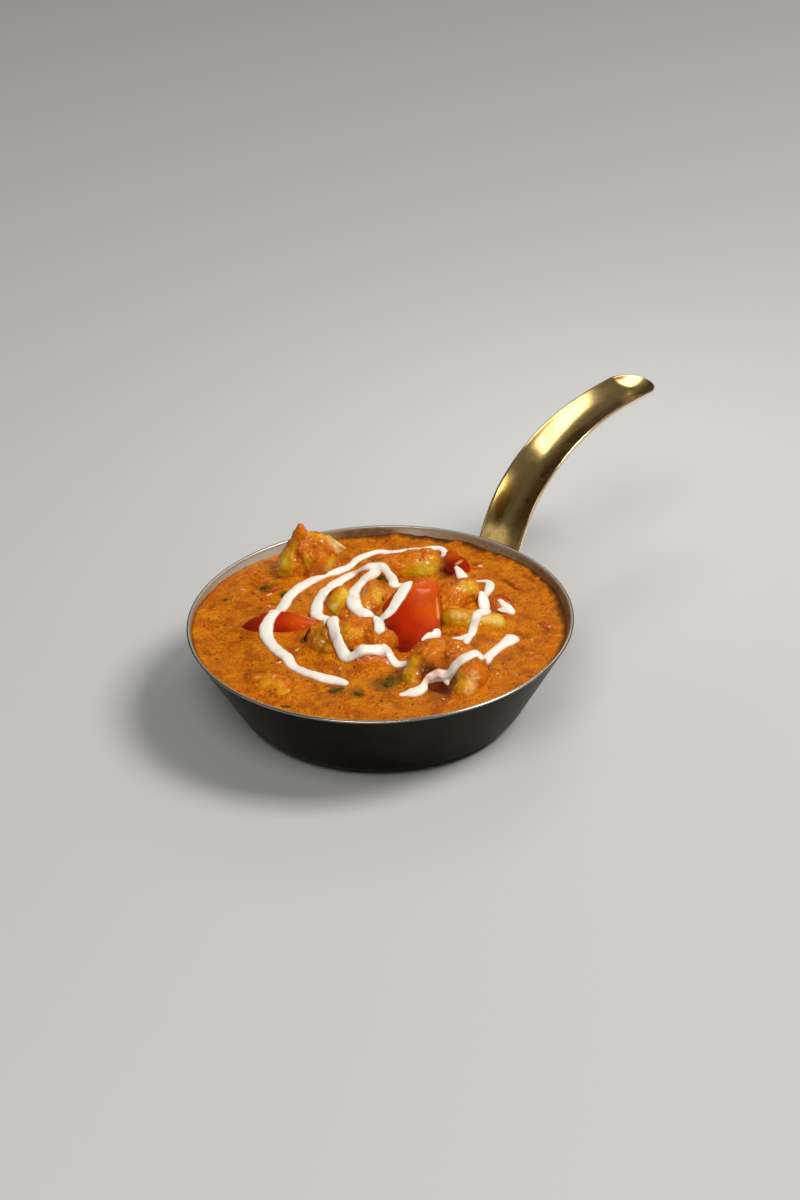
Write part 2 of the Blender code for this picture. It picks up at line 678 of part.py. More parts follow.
def make_pepper(name, finish, grow=0.0):
    """One piece of red pepper, skin up, or with grow the space that it keeps free."""
    shape = PEPPERS[name]
    outline = rounded_outline(shape["corners"], PEPPER_OUTLINE)
    reach = np.linalg.norm(outline, axis=1, keepdims=True)
    outline = outline * (1.0 + grow / reach)
    sheet = shape["sheet"]
    levels = [(share, -grow + (PEPPER_ROUND * 0.5 if share == 1.0 else 0.0)) for share in PEPPER_RINGS]
    levels += [(share, sheet + grow - (PEPPER_ROUND * 0.5 if share == 1.0 else 0.0))
               for share in reversed(PEPPER_RINGS)]
    rings = [[pepper_place(shape, u * share, v * share, down) for u, v in outline]
             for share, down in levels]
    return add_object(name, *skin(rings), finish)


def landscape(bodies):
    """A function that gives the height of the food's upper side at a place."""
    points, faces = [], []
    for body in bodies:
        start = len(points)
        points += [vertex.co.copy() for vertex in body.data.vertices]
        faces += [tuple(start + i for i in face.vertices) for face in body.data.polygons]
    tree = BVHTree.FromPolygons(points, faces)

    def height(x, y):
        hit = tree.ray_cast(turned((x, y, 2.0 * RIM_RADIUS)), Vector((0.0, 0.0, -1.0)))[0]
        return max(hit.z / MM, gravy_height(x, y)) if hit else gravy_height(x, y)
    return height


def make_cream_line(stops, land, finish):
    """One poured line of cream, a flat-bottomed ribbon draped over what it crosses."""
    path = np.array(stops)
    length = np.linalg.norm(np.diff(path[:, :2], axis=0), axis=1).sum()
    line = smooth_run(stops, max(round(length / CREAM_STEP), 4))
    rings = []
    for i, (x, y, half) in enumerate(line):
        ahead = line[min(i + 1, len(line) - 1), :2] - line[max(i - 1, 0), :2]
        ahead /= np.linalg.norm(ahead)
        end = {0: -1.0, len(line) - 1: 1.0}.get(i, 0.0)
        reach = half * (0.6 if end else 1.0)
        centre = np.array((x, y)) + ahead * (end * 0.6 * half)
        ring = []
        for across, rise in ((-1.0, None), (0.0, CREAM_HEIGHT), (1.0, None), (0.0, None)):
            spot = centre + np.array((-ahead[1], ahead[0])) * (across * reach)
            level = land(*spot)
            level += -CREAM_SINK if rise is None else rise * reach
            ring.append((spot[0], spot[1], level))
        rings.append(ring)
    return add_object("line", *skin(rings), finish)


def make_cream(land, finish):
    """Every poured line in one body, before it is shared out to what it lies on."""
    lines = [make_cream_line(stops, land, finish) for stops in CREAM]
    combine(lines[0], "UNION", lines[1:], "MANIFOLD")
    return lines[0]


def copy_of(body):
    """A copy of an object with its own mesh."""
    made = body.copy()
    made.data = body.data.copy()
    bpy.context.scene.collection.objects.link(made)
    return made


def pour_cream(toppings, curry, makers):
    """Fuses each stretch of cream to the piece that it lies on, clear of the others."""
    def space(name, grow):
        make, finish = makers[name]
        return make(name, finish, grow)
    under = [name for name in toppings if name not in BARE]
    land = landscape([curry, *(toppings[name] for name in under)])
    cream = make_cream(land, curry.data.materials[0])
    for i, name in enumerate(under):
        stretch = copy_of(cream)
        combine(stretch, "INTERSECT", [space(name, CREAM_HOLD)], "MANIFOLD")
        others = [space(other, CREAM_CLEAR) for other in under[:i]]
        others += [space(other, CARVE_GAP) for other in toppings if other not in under[:i + 1]]
        others.append(make_gravy(curry.data.materials[0], CARVE_GAP))
        for other in others:
            combine(stretch, "DIFFERENCE", [other], "MANIFOLD")
        combine(toppings[name], "UNION", [stretch], "MANIFOLD")
    for name in toppings:
        combine(cream, "DIFFERENCE", [space(name, CREAM_CLEAR if name in under else CARVE_GAP)], "MANIFOLD")
    combine(curry, "UNION", [cream], "MANIFOLD")


def make_flake(flake, finish):
    """One thin flake, half sunk in the gravy."""
    x, y, length, width, turn = flake
    rings = []
    for share, rise in ((1.0, -FLAKE_SINK), (0.8, FLAKE_HEIGHT)):
        ring = []
        for i in range(FLAKE_CORNERS):
            angle = 2.0 * math.pi * i / FLAKE_CORNERS
            along, across = share * length * math.cos(angle), share * width * math.sin(angle)
            px = x + along * math.cos(math.radians(turn)) - across * math.sin(math.radians(turn))
            py = y + along * math.sin(math.radians(turn)) + across * math.cos(math.radians(turn))
            ring.append((px, py, gravy_height(x, y) + rise))
        rings.append(ring)
    return add_object("flake", *skin(rings), finish)


def build():
    """Makes every solid."""
    clear_scene()
    steel = make_material("steel", STEEL, 0.3, 1.0)
    brass = make_material("brass", BRASS, 0.22, 1.0)
    gravy = make_material("gravy", GRAVY, 0.35)
    coat = make_material("prawn", PRAWN, 0.35)
    pepper = make_material("pepper", PEPPER, 0.18)
    pan = make_pan(steel)
    handle = make_handle(brass)
    make_rivets(pan, handle, brass)
    curry = make_gravy(gravy)
    toppings = {}
    makers = {name: (make_prawn, coat) for name in PRAWN_SPINES}
    makers.update({name: (make_pepper, pepper) for name in PEPPERS})
    for name, (make, finish) in makers.items():
        body = make(name, finish)
        for other in toppings:
            other_make, other_finish = makers[other]
            combine(body, "DIFFERENCE", [other_make(other, other_finish, CARVE_GAP)], "MANIFOLD")
        toppings[name] = body
    for name, (make, finish) in makers.items():
        combine(curry, "DIFFERENCE", [make(name, finish, CARVE_GAP)], "MANIFOLD")
    pour_cream(toppings, curry, makers)
    combine(curry, "UNION", [make_flake(flake, gravy) for flake in FLAKES], "MANIFOLD")
    for body in (curry, *toppings.values()):
        keep_largest(body)
        body.data.set_sharp_from_angle(angle=FOOD_EDGE)


build()
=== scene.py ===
"""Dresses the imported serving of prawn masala: pan, gravy, prawns, peppers, cream and herbs.

Sizes are millimetres in the front view: x to the right, y away from the viewer, z up from
the floor, with the pan's axis as the origin. turned() brings them into the part's own frame,
in metres, where the handle lies along +X.
"""

import logging
import math
from dataclasses import dataclass, field
from enum import Enum
from typing import Callable, Sequence

import bpy
import numpy as np
from mathutils import Matrix, Vector
from mathutils.bvhtree import BVHTree


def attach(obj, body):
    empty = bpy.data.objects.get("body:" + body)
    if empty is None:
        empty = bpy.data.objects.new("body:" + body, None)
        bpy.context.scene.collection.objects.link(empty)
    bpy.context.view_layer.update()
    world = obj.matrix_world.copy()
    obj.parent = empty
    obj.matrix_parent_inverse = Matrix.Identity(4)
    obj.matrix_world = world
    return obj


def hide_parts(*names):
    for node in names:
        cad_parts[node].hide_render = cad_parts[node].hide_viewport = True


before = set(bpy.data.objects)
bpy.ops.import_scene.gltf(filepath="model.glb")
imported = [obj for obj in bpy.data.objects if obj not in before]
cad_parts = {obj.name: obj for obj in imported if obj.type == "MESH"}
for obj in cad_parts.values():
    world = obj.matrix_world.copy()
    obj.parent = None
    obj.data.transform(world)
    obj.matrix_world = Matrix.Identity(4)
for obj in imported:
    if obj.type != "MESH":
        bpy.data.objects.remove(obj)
log = logging.getLogger("prawn_masala")

MM = 0.001
HANDLE_AZIMUTH = math.radians(49.2)
BODY = "root"

# How far light soaks into food, in metres.
FOOD_DEPTH = 0.002
# A soft patch is full up to 0.3 of its reach and gone at 1.3 of it.
SOFT_EDGE = 1.3
# Least squared length of a run whose two ends are one place.
TINY = 1e-6

Colour = tuple[float, float, float]
Spot = tuple[float, float, float, float]
Stop = tuple[float, float, float]
Patch = tuple[Stop, Stop, float, float]
Flake = tuple[float, float, float, float, float]
Shape = tuple[np.ndarray, np.ndarray]
Layers = Sequence[tuple[float, float]]


class Slot(Enum):
    """The record's material slots."""

    STEEL = "steel"
    BRASS = "brass"
    GRAVY = "gravy"
    PRAWN = "prawn"
    PEPPER = "pepper"


class Tint(Enum):
    """Patches that break the sauce's colour on a prawn; each is a mesh attribute."""

    FLESH = "flesh"
    OLIVE = "olive"
    # Pale flesh and a whitish tail end, and painted highlights on some prawns.
    PALE_AND_HIGHLIGHT = "pale"
    PINK = "pink"
    # Painted shade in dark red inside a prawn's curl.
    MAROON_AND_SHADE = "maroon_and_shade"


def linear(level: float) -> float:
    """One channel from a 0 to 255 screen value to linear light."""
    share = level / 255.0
    return share / 12.92 if share <= 0.04045 else ((share + 0.055) / 1.055) ** 2.4


def srgb(red: float, green: float, blue: float) -> Colour:
    """A colour from 0 to 255 screen values as linear light."""
    return linear(red), linear(green), linear(blue)


def turned(points: np.ndarray) -> np.ndarray:
    """Brings points from the front view into the part's own frame.

    Args:
        points: Rows of x, y, z in millimetres.

    Returns:
        The same rows in metres, turned so that the handle lies along +X.
    """
    c, s = math.cos(HANDLE_AZIMUTH), math.sin(HANDLE_AZIMUTH)
    x, y, z = np.asarray(points, float).T
    return np.column_stack([x * c + y * s, y * c - x * s, z]) * MM


def ramp(values: np.ndarray, start: float, end: float) -> np.ndarray:
    """0 at start and before it, 1 at end and past it, and even between them."""
    return np.clip((values - start) / (end - start), 0.0, 1.0)


@dataclass(frozen=True)
class Veil:
    """A colour that noise lays over another where its value goes from low to high."""

    colour: Colour
    noise: tuple[float, ...]
    low: float
    high: float
    strength: float


class Term:
    """A socket in shader maths, where Python's operators add Math nodes."""

    def __init__(self, bench: "Bench", socket: bpy.types.NodeSocket) -> None:
        """Holds the socket and the bench that it is on."""
        self.bench = bench
        self.socket = socket

    def __add__(self, other: "Term | float") -> "Term":
        """Sum."""
        return self.bench.maths("ADD", self, other)

    def __radd__(self, other: float) -> "Term":
        """Sum with a number on the left."""
        return self.bench.maths("ADD", other, self)

    def __sub__(self, other: "Term | float") -> "Term":
        """Difference."""
        return self.bench.maths("SUBTRACT", self, other)

    def __rsub__(self, other: float) -> "Term":
        """Difference from a number on the left."""
        return self.bench.maths("SUBTRACT", other, self)

    def __mul__(self, other: "Term | float") -> "Term":
        """Product."""
        return self.bench.maths("MULTIPLY", self, other)

    def __rmul__(self, other: float) -> "Term":
        """Product with a number on the left."""
        return self.bench.maths("MULTIPLY", other, self)

    def step(self, low: float, high: float) -> "Term":
        """A soft step.

        Args:
            low: The value where the step is 0.
            high: The value where the step is 1; it may be under low.

        Returns:
            The step as a term.
        """
        sockets = {"Value": self, "From Min": low, "From Max": high}
        made = self.bench.add("ShaderNodeMapRange", {"interpolation_type": "SMOOTHSTEP"}, sockets)
        return Term(self.bench, made.outputs["Result"])

    def held(self) -> "Term":
        """The value kept between 0 and 1."""
        made = self.bench.add("ShaderNodeClamp", {}, {"Value": self})
        return Term(self.bench, made.outputs["Result"])


class Bench:
    """One material's node tree and the ways to add to it."""

    # Numbers of the mix node's colour sockets.
    MIX_SHARE, MIX_FIRST, MIX_SECOND, MIX_RESULT = 0, 6, 7, 2

    def __init__(self, name: str) -> None:
        """Starts a material with its Principled shader."""
        self.material = bpy.data.materials.new(name)
        self.material.use_nodes = True
        self.tree = self.material.node_tree
        self.shader = self.tree.nodes["Principled BSDF"]
        self.place = Term(self, self.add("ShaderNodeTexCoord").outputs["Object"])
        self.noises: dict[tuple, Term] = {}

    def feed(self, socket: bpy.types.NodeSocket, value: object) -> None:
        """Links a term to a socket, or sets the socket's own value.

        Args:
            socket: The input.
            value: A term, a number, a vector or a colour of three channels.
        """
        if isinstance(value, Term):
            self.tree.links.new(value.socket, socket)
        elif socket.type == "RGBA":
            socket.default_value = (*value, 1.0)
        else:
            socket.default_value = value

    def add(self, kind: str, settings: dict | None = None, sockets: dict | None = None) -> bpy.types.Node:
        """Adds one node.

        Args:
            kind: The node's type.
            settings: The node's own settings, set first; "stops" fills a colour ramp.
            sockets: Values or terms for its inputs, by name or number.

        Returns:
            The node.
        """
        node = self.tree.nodes.new(kind)
        for name, value in (settings or {}).items():
            if name != "stops":
                setattr(node, name, value)
                continue
            for i, (position, colour) in enumerate(value):
                stops = node.color_ramp.elements
                stop = stops[i] if i < 2 else stops.new(position)
                stop.position = position
                stop.color = (*colour, 1.0)
        for key, value in (sockets or {}).items():
            self.feed(node.inputs[key], value)
        return node

    def maths(self, operation: str, first: "Term | float", second: "Term | float") -> Term:
        """One Math node as a term."""
        made = self.add("ShaderNodeMath", {"operation": operation}, {0: first, 1: second})
        return Term(self, made.outputs[0])

    def mix(self, first: "Term | Colour", second: "Term | Colour", share: "Term | float") -> Term:
        """A colour between two others.

        Args:
            first: The colour where share is 0.
            second: The colour where share is 1.
            share: How much of the second shows.

        Returns:
            The blend as a term.
        """
        settings = {"data_type": "RGBA", "clamp_factor": True}
        sockets = {self.MIX_SHARE: share, self.MIX_FIRST: first, self.MIX_SECOND: second}
        made = self.add("ShaderNodeMix", settings, sockets)
        return Term(self, made.outputs[self.MIX_RESULT])

    def noise(
        self, pitch: float, detail: float = 3.0, roughness: float = 0.55, stretch: Stop | None = None
    ) -> Term:
        """Soft noise over the object; the same noise asked for twice is made once.

        Args:
            pitch: Size of its larger lumps in millimetres.
            detail: Number of finer layers.
            roughness: Strength of the finer layers.
            stretch: Factors on x, y and z that draw the lumps out, or None.

        Returns:
            A term from 0 to 1, mostly near 0.5.
        """
        key = (pitch, detail, roughness, stretch)
        if key in self.noises:
            return self.noises[key]
        place = self.place
        if stretch:
            scaled = self.add("ShaderNodeVectorMath", {"operation": "MULTIPLY"}, {0: place, 1: stretch})
            place = Term(self, scaled.outputs[0])
        sockets = {"Vector": place, "Scale": 1.0 / (pitch * MM), "Detail": detail, "Roughness": roughness}
        self.noises[key] = Term(self, self.add("ShaderNodeTexNoise", {}, sockets).outputs[0])
        return self.noises[key]

    def veiled(self, base: "Term | Colour", veils: Sequence[Veil]) -> Term:
        """A colour under patches that noise lays over it.

        Args:
            base: The colour under them.
            veils: The patches, from the lowest up.

        Returns:
            The colour as a term.
        """
        for veil in veils:
            share = self.noise(*veil.noise).step(veil.low, veil.high) * veil.strength
            base = self.mix(base, veil.colour, share)
        return base

    def attribute(self, name: str) -> Term:
        """A mesh attribute's value."""
        made = self.add("ShaderNodeAttribute", {"attribute_name": name})
        return Term(self, made.outputs["Fac"])

    def bump(self, height: Term, depth: float, strength: float = 1.0) -> Term:
        """A normal from a height term; depth is its full relief in millimetres."""
        sockets = {"Height": height, "Distance": depth * MM, "Strength": strength}
        return Term(self, self.add("ShaderNodeBump", {}, sockets).outputs["Normal"])

    def dress(self, **sockets: object) -> bpy.types.Material:
        """Feeds the Principled shader, by names with underscores for spaces.

        Args:
            **sockets: Values or terms for the shader's inputs.

        Returns:
            The material.
        """
        for name, value in sockets.items():
            socket = name.replace("_", " ").title().replace("Ior", "IOR")
            self.feed(self.shader.inputs[socket], value)
        return self.material


# Noises that several foods share: pitch in millimetres, detail, roughness.
FINE_NOISE = (0.9, 4.0, 0.65)
GRAIN_NOISE = (0.45, 2.0)
CLOUD_NOISE = (5.0, 4.0, 0.6)
MOTTLE_NOISE = (2.6, 5.0, 0.65)


@dataclass(frozen=True)
class SteelFinish:
    """Thin turned steel, brushed round its axis and browned inside, with painted reflection: a near-black
    outside, an inside lighter or browner by direction, and a painted highlight on the rim.
    """

    name: str = "turned_steel"
    inside: Colour = (0.60, 0.60, 0.53)
    # Brown inside where no bright reflection is painted: tarnish and painted shade.
    tarnish_and_reflection: Colour = (0.34, 0.18, 0.045)
    # Painted dark reflection: the outside's steel is near-black, and its wear patches nearly so.
    dark_reflection_outside: Colour = (0.010, 0.0095, 0.008)
    wear_and_dark_reflection: Colour = (0.025, 0.023, 0.020)
    # Painted highlight on the rim's top band.
    painted_light_colour: Colour = (0.50, 0.46, 0.41)
    browned: Colour = (0.12, 0.05, 0.018)
    roughness: float = 0.34
    glance: Colour = (0.66, 0.65, 0.62)
    brushing: Stop = (0.05, 0.05, 1.0)

    def made(self) -> bpy.types.Material:
        """Mixes the finish from the attributes for stain, for tarnish with painted reflection, for the inner
        side and for the rim's painted highlight.

        Returns:
            The material.
        """
        bench = Bench(self.name)
        lines = bench.noise(1.1, 3.0, 0.6, self.brushing)
        clouds = bench.noise(14.0, 4.0)
        stain = (bench.attribute("stain") * (bench.noise(2.2, 4.0) * 1.9)).held()
        # Painted reflection: the inside is light where a bright reflection is painted, and brown tarnish
        # elsewhere.
        tarnish_and_reflection_share = bench.attribute("tarnish_and_reflection")
        tarnish_and_reflection = (tarnish_and_reflection_share + (clouds - 0.5) * 0.5).held()
        lip = bench.attribute("lip")
        inner = bench.attribute("inner")
        # Wear patches on the outside's painted dark reflection.
        wear_and_dark_reflection = (clouds.step(0.35, 0.7) * 0.6 + lines.step(0.4, 0.7) * 0.5).held()
        outer = bench.mix(self.dark_reflection_outside, self.wear_and_dark_reflection, wear_and_dark_reflection)
        colour = bench.mix(outer, bench.mix(self.inside, self.tarnish_and_reflection, tarnish_and_reflection), inner)
        # Painted highlight: the rim's top band is lighter.
        colour = bench.mix(colour, self.painted_light_colour, lip)
        rough = self.roughness + (clouds - 0.5) * 0.18 + (lines - 0.5) * 0.22 + stain * 0.2 - lip * 0.12
        return bench.dress(
            base_color=bench.mix(colour, self.browned, stain),
            metallic=(1.0 - stain * 0.75 - inner * 0.45 - tarnish_and_reflection_share * 0.1).held(),
            roughness=rough.held(),
            specular_tint=self.glance,
            normal=bench.bump(lines, 0.05, 0.5),
        )


@dataclass(frozen=True)
class BrassFinish:
    """Polished brass with a brown patina and thumb marks, a painted dark reflection near the foot and along
    one side, and cut edges painted paler as a highlight.
    """

    name: str = "polished_brass"
    colour: Colour = (0.97, 0.67, 0.25)
    # Painted highlight: the cut edges are paler than the brass.
    edge: Colour = (0.95, 0.80, 0.58)
    # Brown for the patina and for the painted dark reflection.
    patina_and_dark_reflection: Colour = (0.17, 0.09, 0.015)
    roughness: float = 0.17

    def made(self) -> bpy.types.Material:
        """Mixes the finish from the attributes lip, on the strap's cut edges, and the share of patina and
        painted dark reflection.

        Returns:
            The material.
        """
        bench = Bench(self.name)
        clouds = bench.noise(13.0, 5.0, 0.6)
        marks = bench.noise(4.5, 5.0, 0.7).step(0.53, 0.66)
        grain = bench.noise(0.5, 2.0)
        lip = bench.attribute("lip")
        # Painted dark reflection near the foot and along one side, broken by patina clouds and thumb marks.
        wear_and_dark_reflection = bench.attribute("dark_reflection_and_patina_share") * (0.55 + clouds)
        dark_reflection_and_patina_share = (wear_and_dark_reflection + clouds.step(0.5, 0.72) * 0.35 + marks * 0.3 - lip).held()
        return bench.dress(
            # The cut edges are free of patina and take the pale painted highlight.
            base_color=bench.mix(bench.mix(self.colour, self.patina_and_dark_reflection, dark_reflection_and_patina_share), self.edge, lip),
            metallic=1.0,
            roughness=(self.roughness + dark_reflection_and_patina_share * 0.18 + (grain - 0.5) * 0.08).held(),
            normal=bench.bump(grain, 0.02, 0.4),
        )


@dataclass(frozen=True)
class GravyFinish:
    """Thick oily orange gravy, grainy, with brown where it has dried on the wall, painted shade in its
    hollows, and dark red patches that are partly sauce streaks and partly painted shade.
    """

    name: str = "masala_gravy"
    colour: Colour = srgb(209, 117, 3)
    deep: Colour = srgb(166, 78, 2)
    pale: Colour = srgb(226, 142, 8)
    red: Colour = srgb(190, 70, 2)
    browned: Colour = srgb(74, 36, 4)
    # Dark red: streaks in the sauce, and painted shade in hollows and beside the toppings.
    maroon_and_shade: Colour = srgb(88, 16, 1)
    herb: Colour = srgb(86, 70, 6)
    speck: Colour = srgb(84, 38, 2)
    sheen: Colour = (1.0, 0.5, 0.08)

    def made(self) -> bpy.types.Material:
        """Mixes the finish from the attributes crust, painted shade in hollows, herb, dark red with painted
        shade, and wet.

        Returns:
            The material.
        """
        bench = Bench(self.name)
        fine = bench.noise(*FINE_NOISE)
        grain = bench.noise(*GRAIN_NOISE)
        colour = bench.veiled(self.colour, (
            Veil(self.deep, (9.0, 5.0, 0.6), 0.45, 0.62, 0.95),
            Veil(self.pale, CLOUD_NOISE, 0.48, 0.68, 0.8),
            Veil(self.red, (7.0, 3.0), 0.55, 0.7, 0.7),
            Veil(self.deep, FINE_NOISE, 0.48, 0.62, 0.7),
            Veil(self.pale, FINE_NOISE, 0.48, 0.34, 0.6),
            Veil(self.speck, (2.2, 5.0, 0.72), 0.57, 0.7, 0.65),
        ))
        # Painted shade in the surface's hollows.
        colour = bench.mix(colour, self.deep, bench.attribute("hollow_shade") * 0.8)
        colour = bench.veiled(colour, (Veil(self.speck, GRAIN_NOISE, 0.62, 0.7, 0.75),))
        colour = bench.mix(colour, self.herb, (bench.attribute("herb") * (fine * 1.6)).held())
        # Dark red patches: sauce streaks, and painted shade in hollows and beside the toppings.
        colour = bench.mix(colour, self.maroon_and_shade, bench.attribute("maroon_and_shade"))
        oil = bench.noise(2.4, 3.0).step(0.52, 0.66)
        return bench.dress(
            base_color=bench.mix(colour, self.browned, bench.attribute("crust")),
            roughness=(0.32 + bench.noise(2.5, 3.0) * 0.22).held(),
            subsurface_weight=0.06,
            subsurface_radius=(1.0, 0.35, 0.05),
            subsurface_scale=FOOD_DEPTH,
            specular_ior_level=0.5,
            specular_tint=self.sheen,
            coat_weight=(oil * 0.25 + bench.attribute("wet") * 0.35).held(),
            coat_roughness=0.06,
            normal=bench.bump(fine * 0.6 + grain * 0.4, 0.6, 0.9),
        )


@dataclass(frozen=True)
class PrawnFinish:
    """Prawn flesh under a film of orange sauce that has run off the high places."""

    name: str = "sauced_prawn"
    sauce: Colour = srgb(212, 112, 2)
    deep: Colour = srgb(168, 74, 2)
    amber: Colour = srgb(220, 142, 8)
    flesh: Colour = srgb(212, 164, 12)
    # Paler flesh in the cores of bare patches, partly a painted highlight.
    light: Colour = srgb(228, 206, 70)
    olive: Colour = srgb(148, 108, 4)
    # Pale flesh, also used for painted highlights.
    pale: Colour = srgb(240, 212, 140)
    pink: Colour = srgb(222, 122, 70)
    # Painted shade in dark red inside a prawn's curl.
    maroon_and_shade: Colour = srgb(84, 12, 0)
    sheen: Colour = (1.0, 0.66, 0.2)

    def made(self) -> bpy.types.Material:
        """Mixes the finish from a prawn's tints, the painted shade in its hollows and folds, and the hem.

        Returns:
            The material.
        """
        bench = Bench(self.name)
        fine = bench.noise(*FINE_NOISE)
        grit = bench.noise(1.3, 3.0, 0.6)
        mottle = bench.noise(*MOTTLE_NOISE)
        sauce = bench.veiled(self.sauce, (
            Veil(self.deep, CLOUD_NOISE, 0.46, 0.66, 0.9),
            Veil(self.amber, MOTTLE_NOISE, 0.5, 0.64, 0.85),
            Veil(self.deep, FINE_NOISE, 0.52, 0.66, 0.6),
        ))
        risen = (1.0 - bench.attribute("hem")).held()
        bare = (bench.attribute(Tint.FLESH.value) * risen + (mottle - 0.5) * 0.6).held()
        # Bare cores are paler, partly a painted highlight.
        flesh = bench.mix(self.flesh, self.light, (bare.step(0.5, 1.0) * (0.35 + grit)).held())
        flesh = bench.veiled(flesh, (Veil(self.amber, FINE_NOISE, 0.5, 0.62, 0.6),))
        colour = bench.mix(sauce, self.amber, bare.step(0.06, 0.3))
        colour = bench.mix(colour, flesh, bare.step(0.2, 0.65))
        colour = bench.mix(colour, self.sauce, grit.step(0.54, 0.64) * (1.0 - bare * 0.6) * 0.6)
        # The pale patches are partly pale flesh and partly painted highlights.
        for tint, patch in ((Tint.OLIVE, self.olive), (Tint.PALE_AND_HIGHLIGHT, self.pale), (Tint.PINK, self.pink)):
            share = (bench.attribute(tint.value) * (mottle + grit) * risen).held()
            colour = bench.mix(colour, patch, share)
        # Painted shade in hollows and folds.
        colour = bench.mix(colour, self.deep, bench.attribute("hollow_shade") * 0.7)
        relief = (fine * 0.6 + grit * 0.5 + bench.noise(*GRAIN_NOISE) * 0.2) * (1.0 - bare * 0.4)
        return bench.dress(
            # Painted shade in dark red inside the curl.
            base_color=bench.mix(colour, self.maroon_and_shade, bench.attribute(Tint.MAROON_AND_SHADE.value)),
            roughness=(0.3 + bench.noise(2.0, 3.0) * 0.2).held(),
            subsurface_weight=0.08,
            subsurface_radius=(1.0, 0.5, 0.1),
            subsurface_scale=FOOD_DEPTH,
            specular_ior_level=0.45,
            specular_tint=self.sheen,
            coat_weight=(0.08 + grit.step(0.48, 0.6) * 0.8).held(),
            coat_roughness=0.03,
            normal=bench.bump(relief, 0.7, 0.8),
        )


@dataclass(frozen=True)
class PepperFinish:
    """Glossy red pepper skin with paler flesh at the cut edges, painted light on the lit side, painted shade
    on the dark side, and painted highlight lines.
    """

    name: str = "red_pepper"
    skin: Colour = srgb(176, 38, 0)
    # Painted shade, and small dark specks.
    dark: Colour = srgb(112, 16, 0)
    # Painted light on the lit side.
    painted_light_colour: Colour = srgb(206, 80, 0)
    flesh: Colour = srgb(214, 100, 40)
    sauce: Colour = srgb(190, 96, 4)
    # Painted highlight along edges.
    pale: Colour = srgb(240, 176, 110)
    sheen: Colour = (1.0, 0.45, 0.2)

    def made(self) -> bpy.types.Material:
        """Mixes the finish from the attributes cut and film, and from the painted shade, painted light and
        painted highlight lines.

        Returns:
            The material.
        """
        bench = Bench(self.name)
        streaks = bench.noise(6.0, 4.0, 0.6) - 0.5
        film = (bench.attribute("film") + (bench.noise(3.0, 4.0, 0.65) - 0.5) * 1.4).step(0.35, 0.75)
        # Painted light on the lit side.
        colour = bench.mix(self.skin, self.painted_light_colour, (bench.attribute("painted_light") + streaks * 0.5).held())
        colour = bench.mix(colour, self.dark, (bench.attribute("shade") + streaks * 0.4).held())
        colour = bench.veiled(colour, (Veil(self.dark, (1.2, 2.0), 0.66, 0.72, 0.5),))
        colour = bench.mix(colour, self.flesh, bench.attribute("cut") * 0.6)
        # Painted highlight lines.
        colour = bench.mix(colour, self.pale, bench.attribute("pale"))
        return bench.dress(
            base_color=bench.mix(colour, self.sauce, film),
            roughness=0.24,
            subsurface_weight=0.1,
            subsurface_radius=(1.0, 0.2, 0.05),
            subsurface_scale=FOOD_DEPTH,
            specular_ior_level=0.4,
            specular_tint=self.sheen,
            coat_weight=0.25,
            coat_roughness=0.06,
            normal=bench.bump(bench.noise(3.5, 3.0), 0.2, 0.3),
        )


@dataclass(frozen=True)
class CreamFinish:
    """Thick white cream, tinged where it thins into the gravy."""

    name: str = "poured_cream"
    colour: Colour = (0.90, 0.87, 0.82)
    thin: Colour = srgb(236, 196, 140)
    blush: Colour = srgb(206, 128, 110)

    def made(self) -> bpy.types.Material:
        """Mixes the finish from the attributes thin and blush.

        Returns:
            The material.
        """
        bench = Bench(self.name)
        colour = bench.mix(self.colour, self.thin, bench.attribute("thin") * 0.6)
        return bench.dress(
            base_color=bench.mix(colour, self.blush, bench.attribute("blush")),
            roughness=0.4,
            subsurface_weight=0.15,
            subsurface_radius=(1.0, 0.85, 0.7),
            subsurface_scale=0.001,
            specular_ior_level=0.4,
            normal=bench.bump(bench.noise(1.6, 2.0), 0.1, 0.3),
        )


@dataclass(frozen=True)
class BitFinish:
    """A small cooked bit of one colour, wet and uneven: herb, spice, onion or pepper."""

    name: str
    colour: Colour
    other: Colour
    pitch: float = 1.5
    roughness: float = 0.35
    coat: float = 0.08
    sheen: Colour = (1.0, 0.7, 0.4)

    def made(self) -> bpy.types.Material:
        """Mixes the finish from its two colours.

        Returns:
            The material.
        """
        bench = Bench(self.name)
        blend = bench.noise(self.pitch, 3.0).step(0.38, 0.62)
        return bench.dress(
            base_color=bench.mix(self.colour, self.other, blend),
            roughness=self.roughness,
            specular_tint=self.sheen,
            coat_weight=self.coat,
            coat_roughness=0.15,
            normal=bench.bump(bench.noise(self.pitch * 0.4, 2.0), 0.1, 0.5),
        )


@dataclass(frozen=True)
class FloorFinish:
    """A plain pale studio floor."""

    name: str = "studio_floor"
    colour: Colour = (0.58, 0.60, 0.63)

    def made(self) -> bpy.types.Material:
        """The material."""
        return Bench(self.name).dress(base_color=self.colour, roughness=0.6)


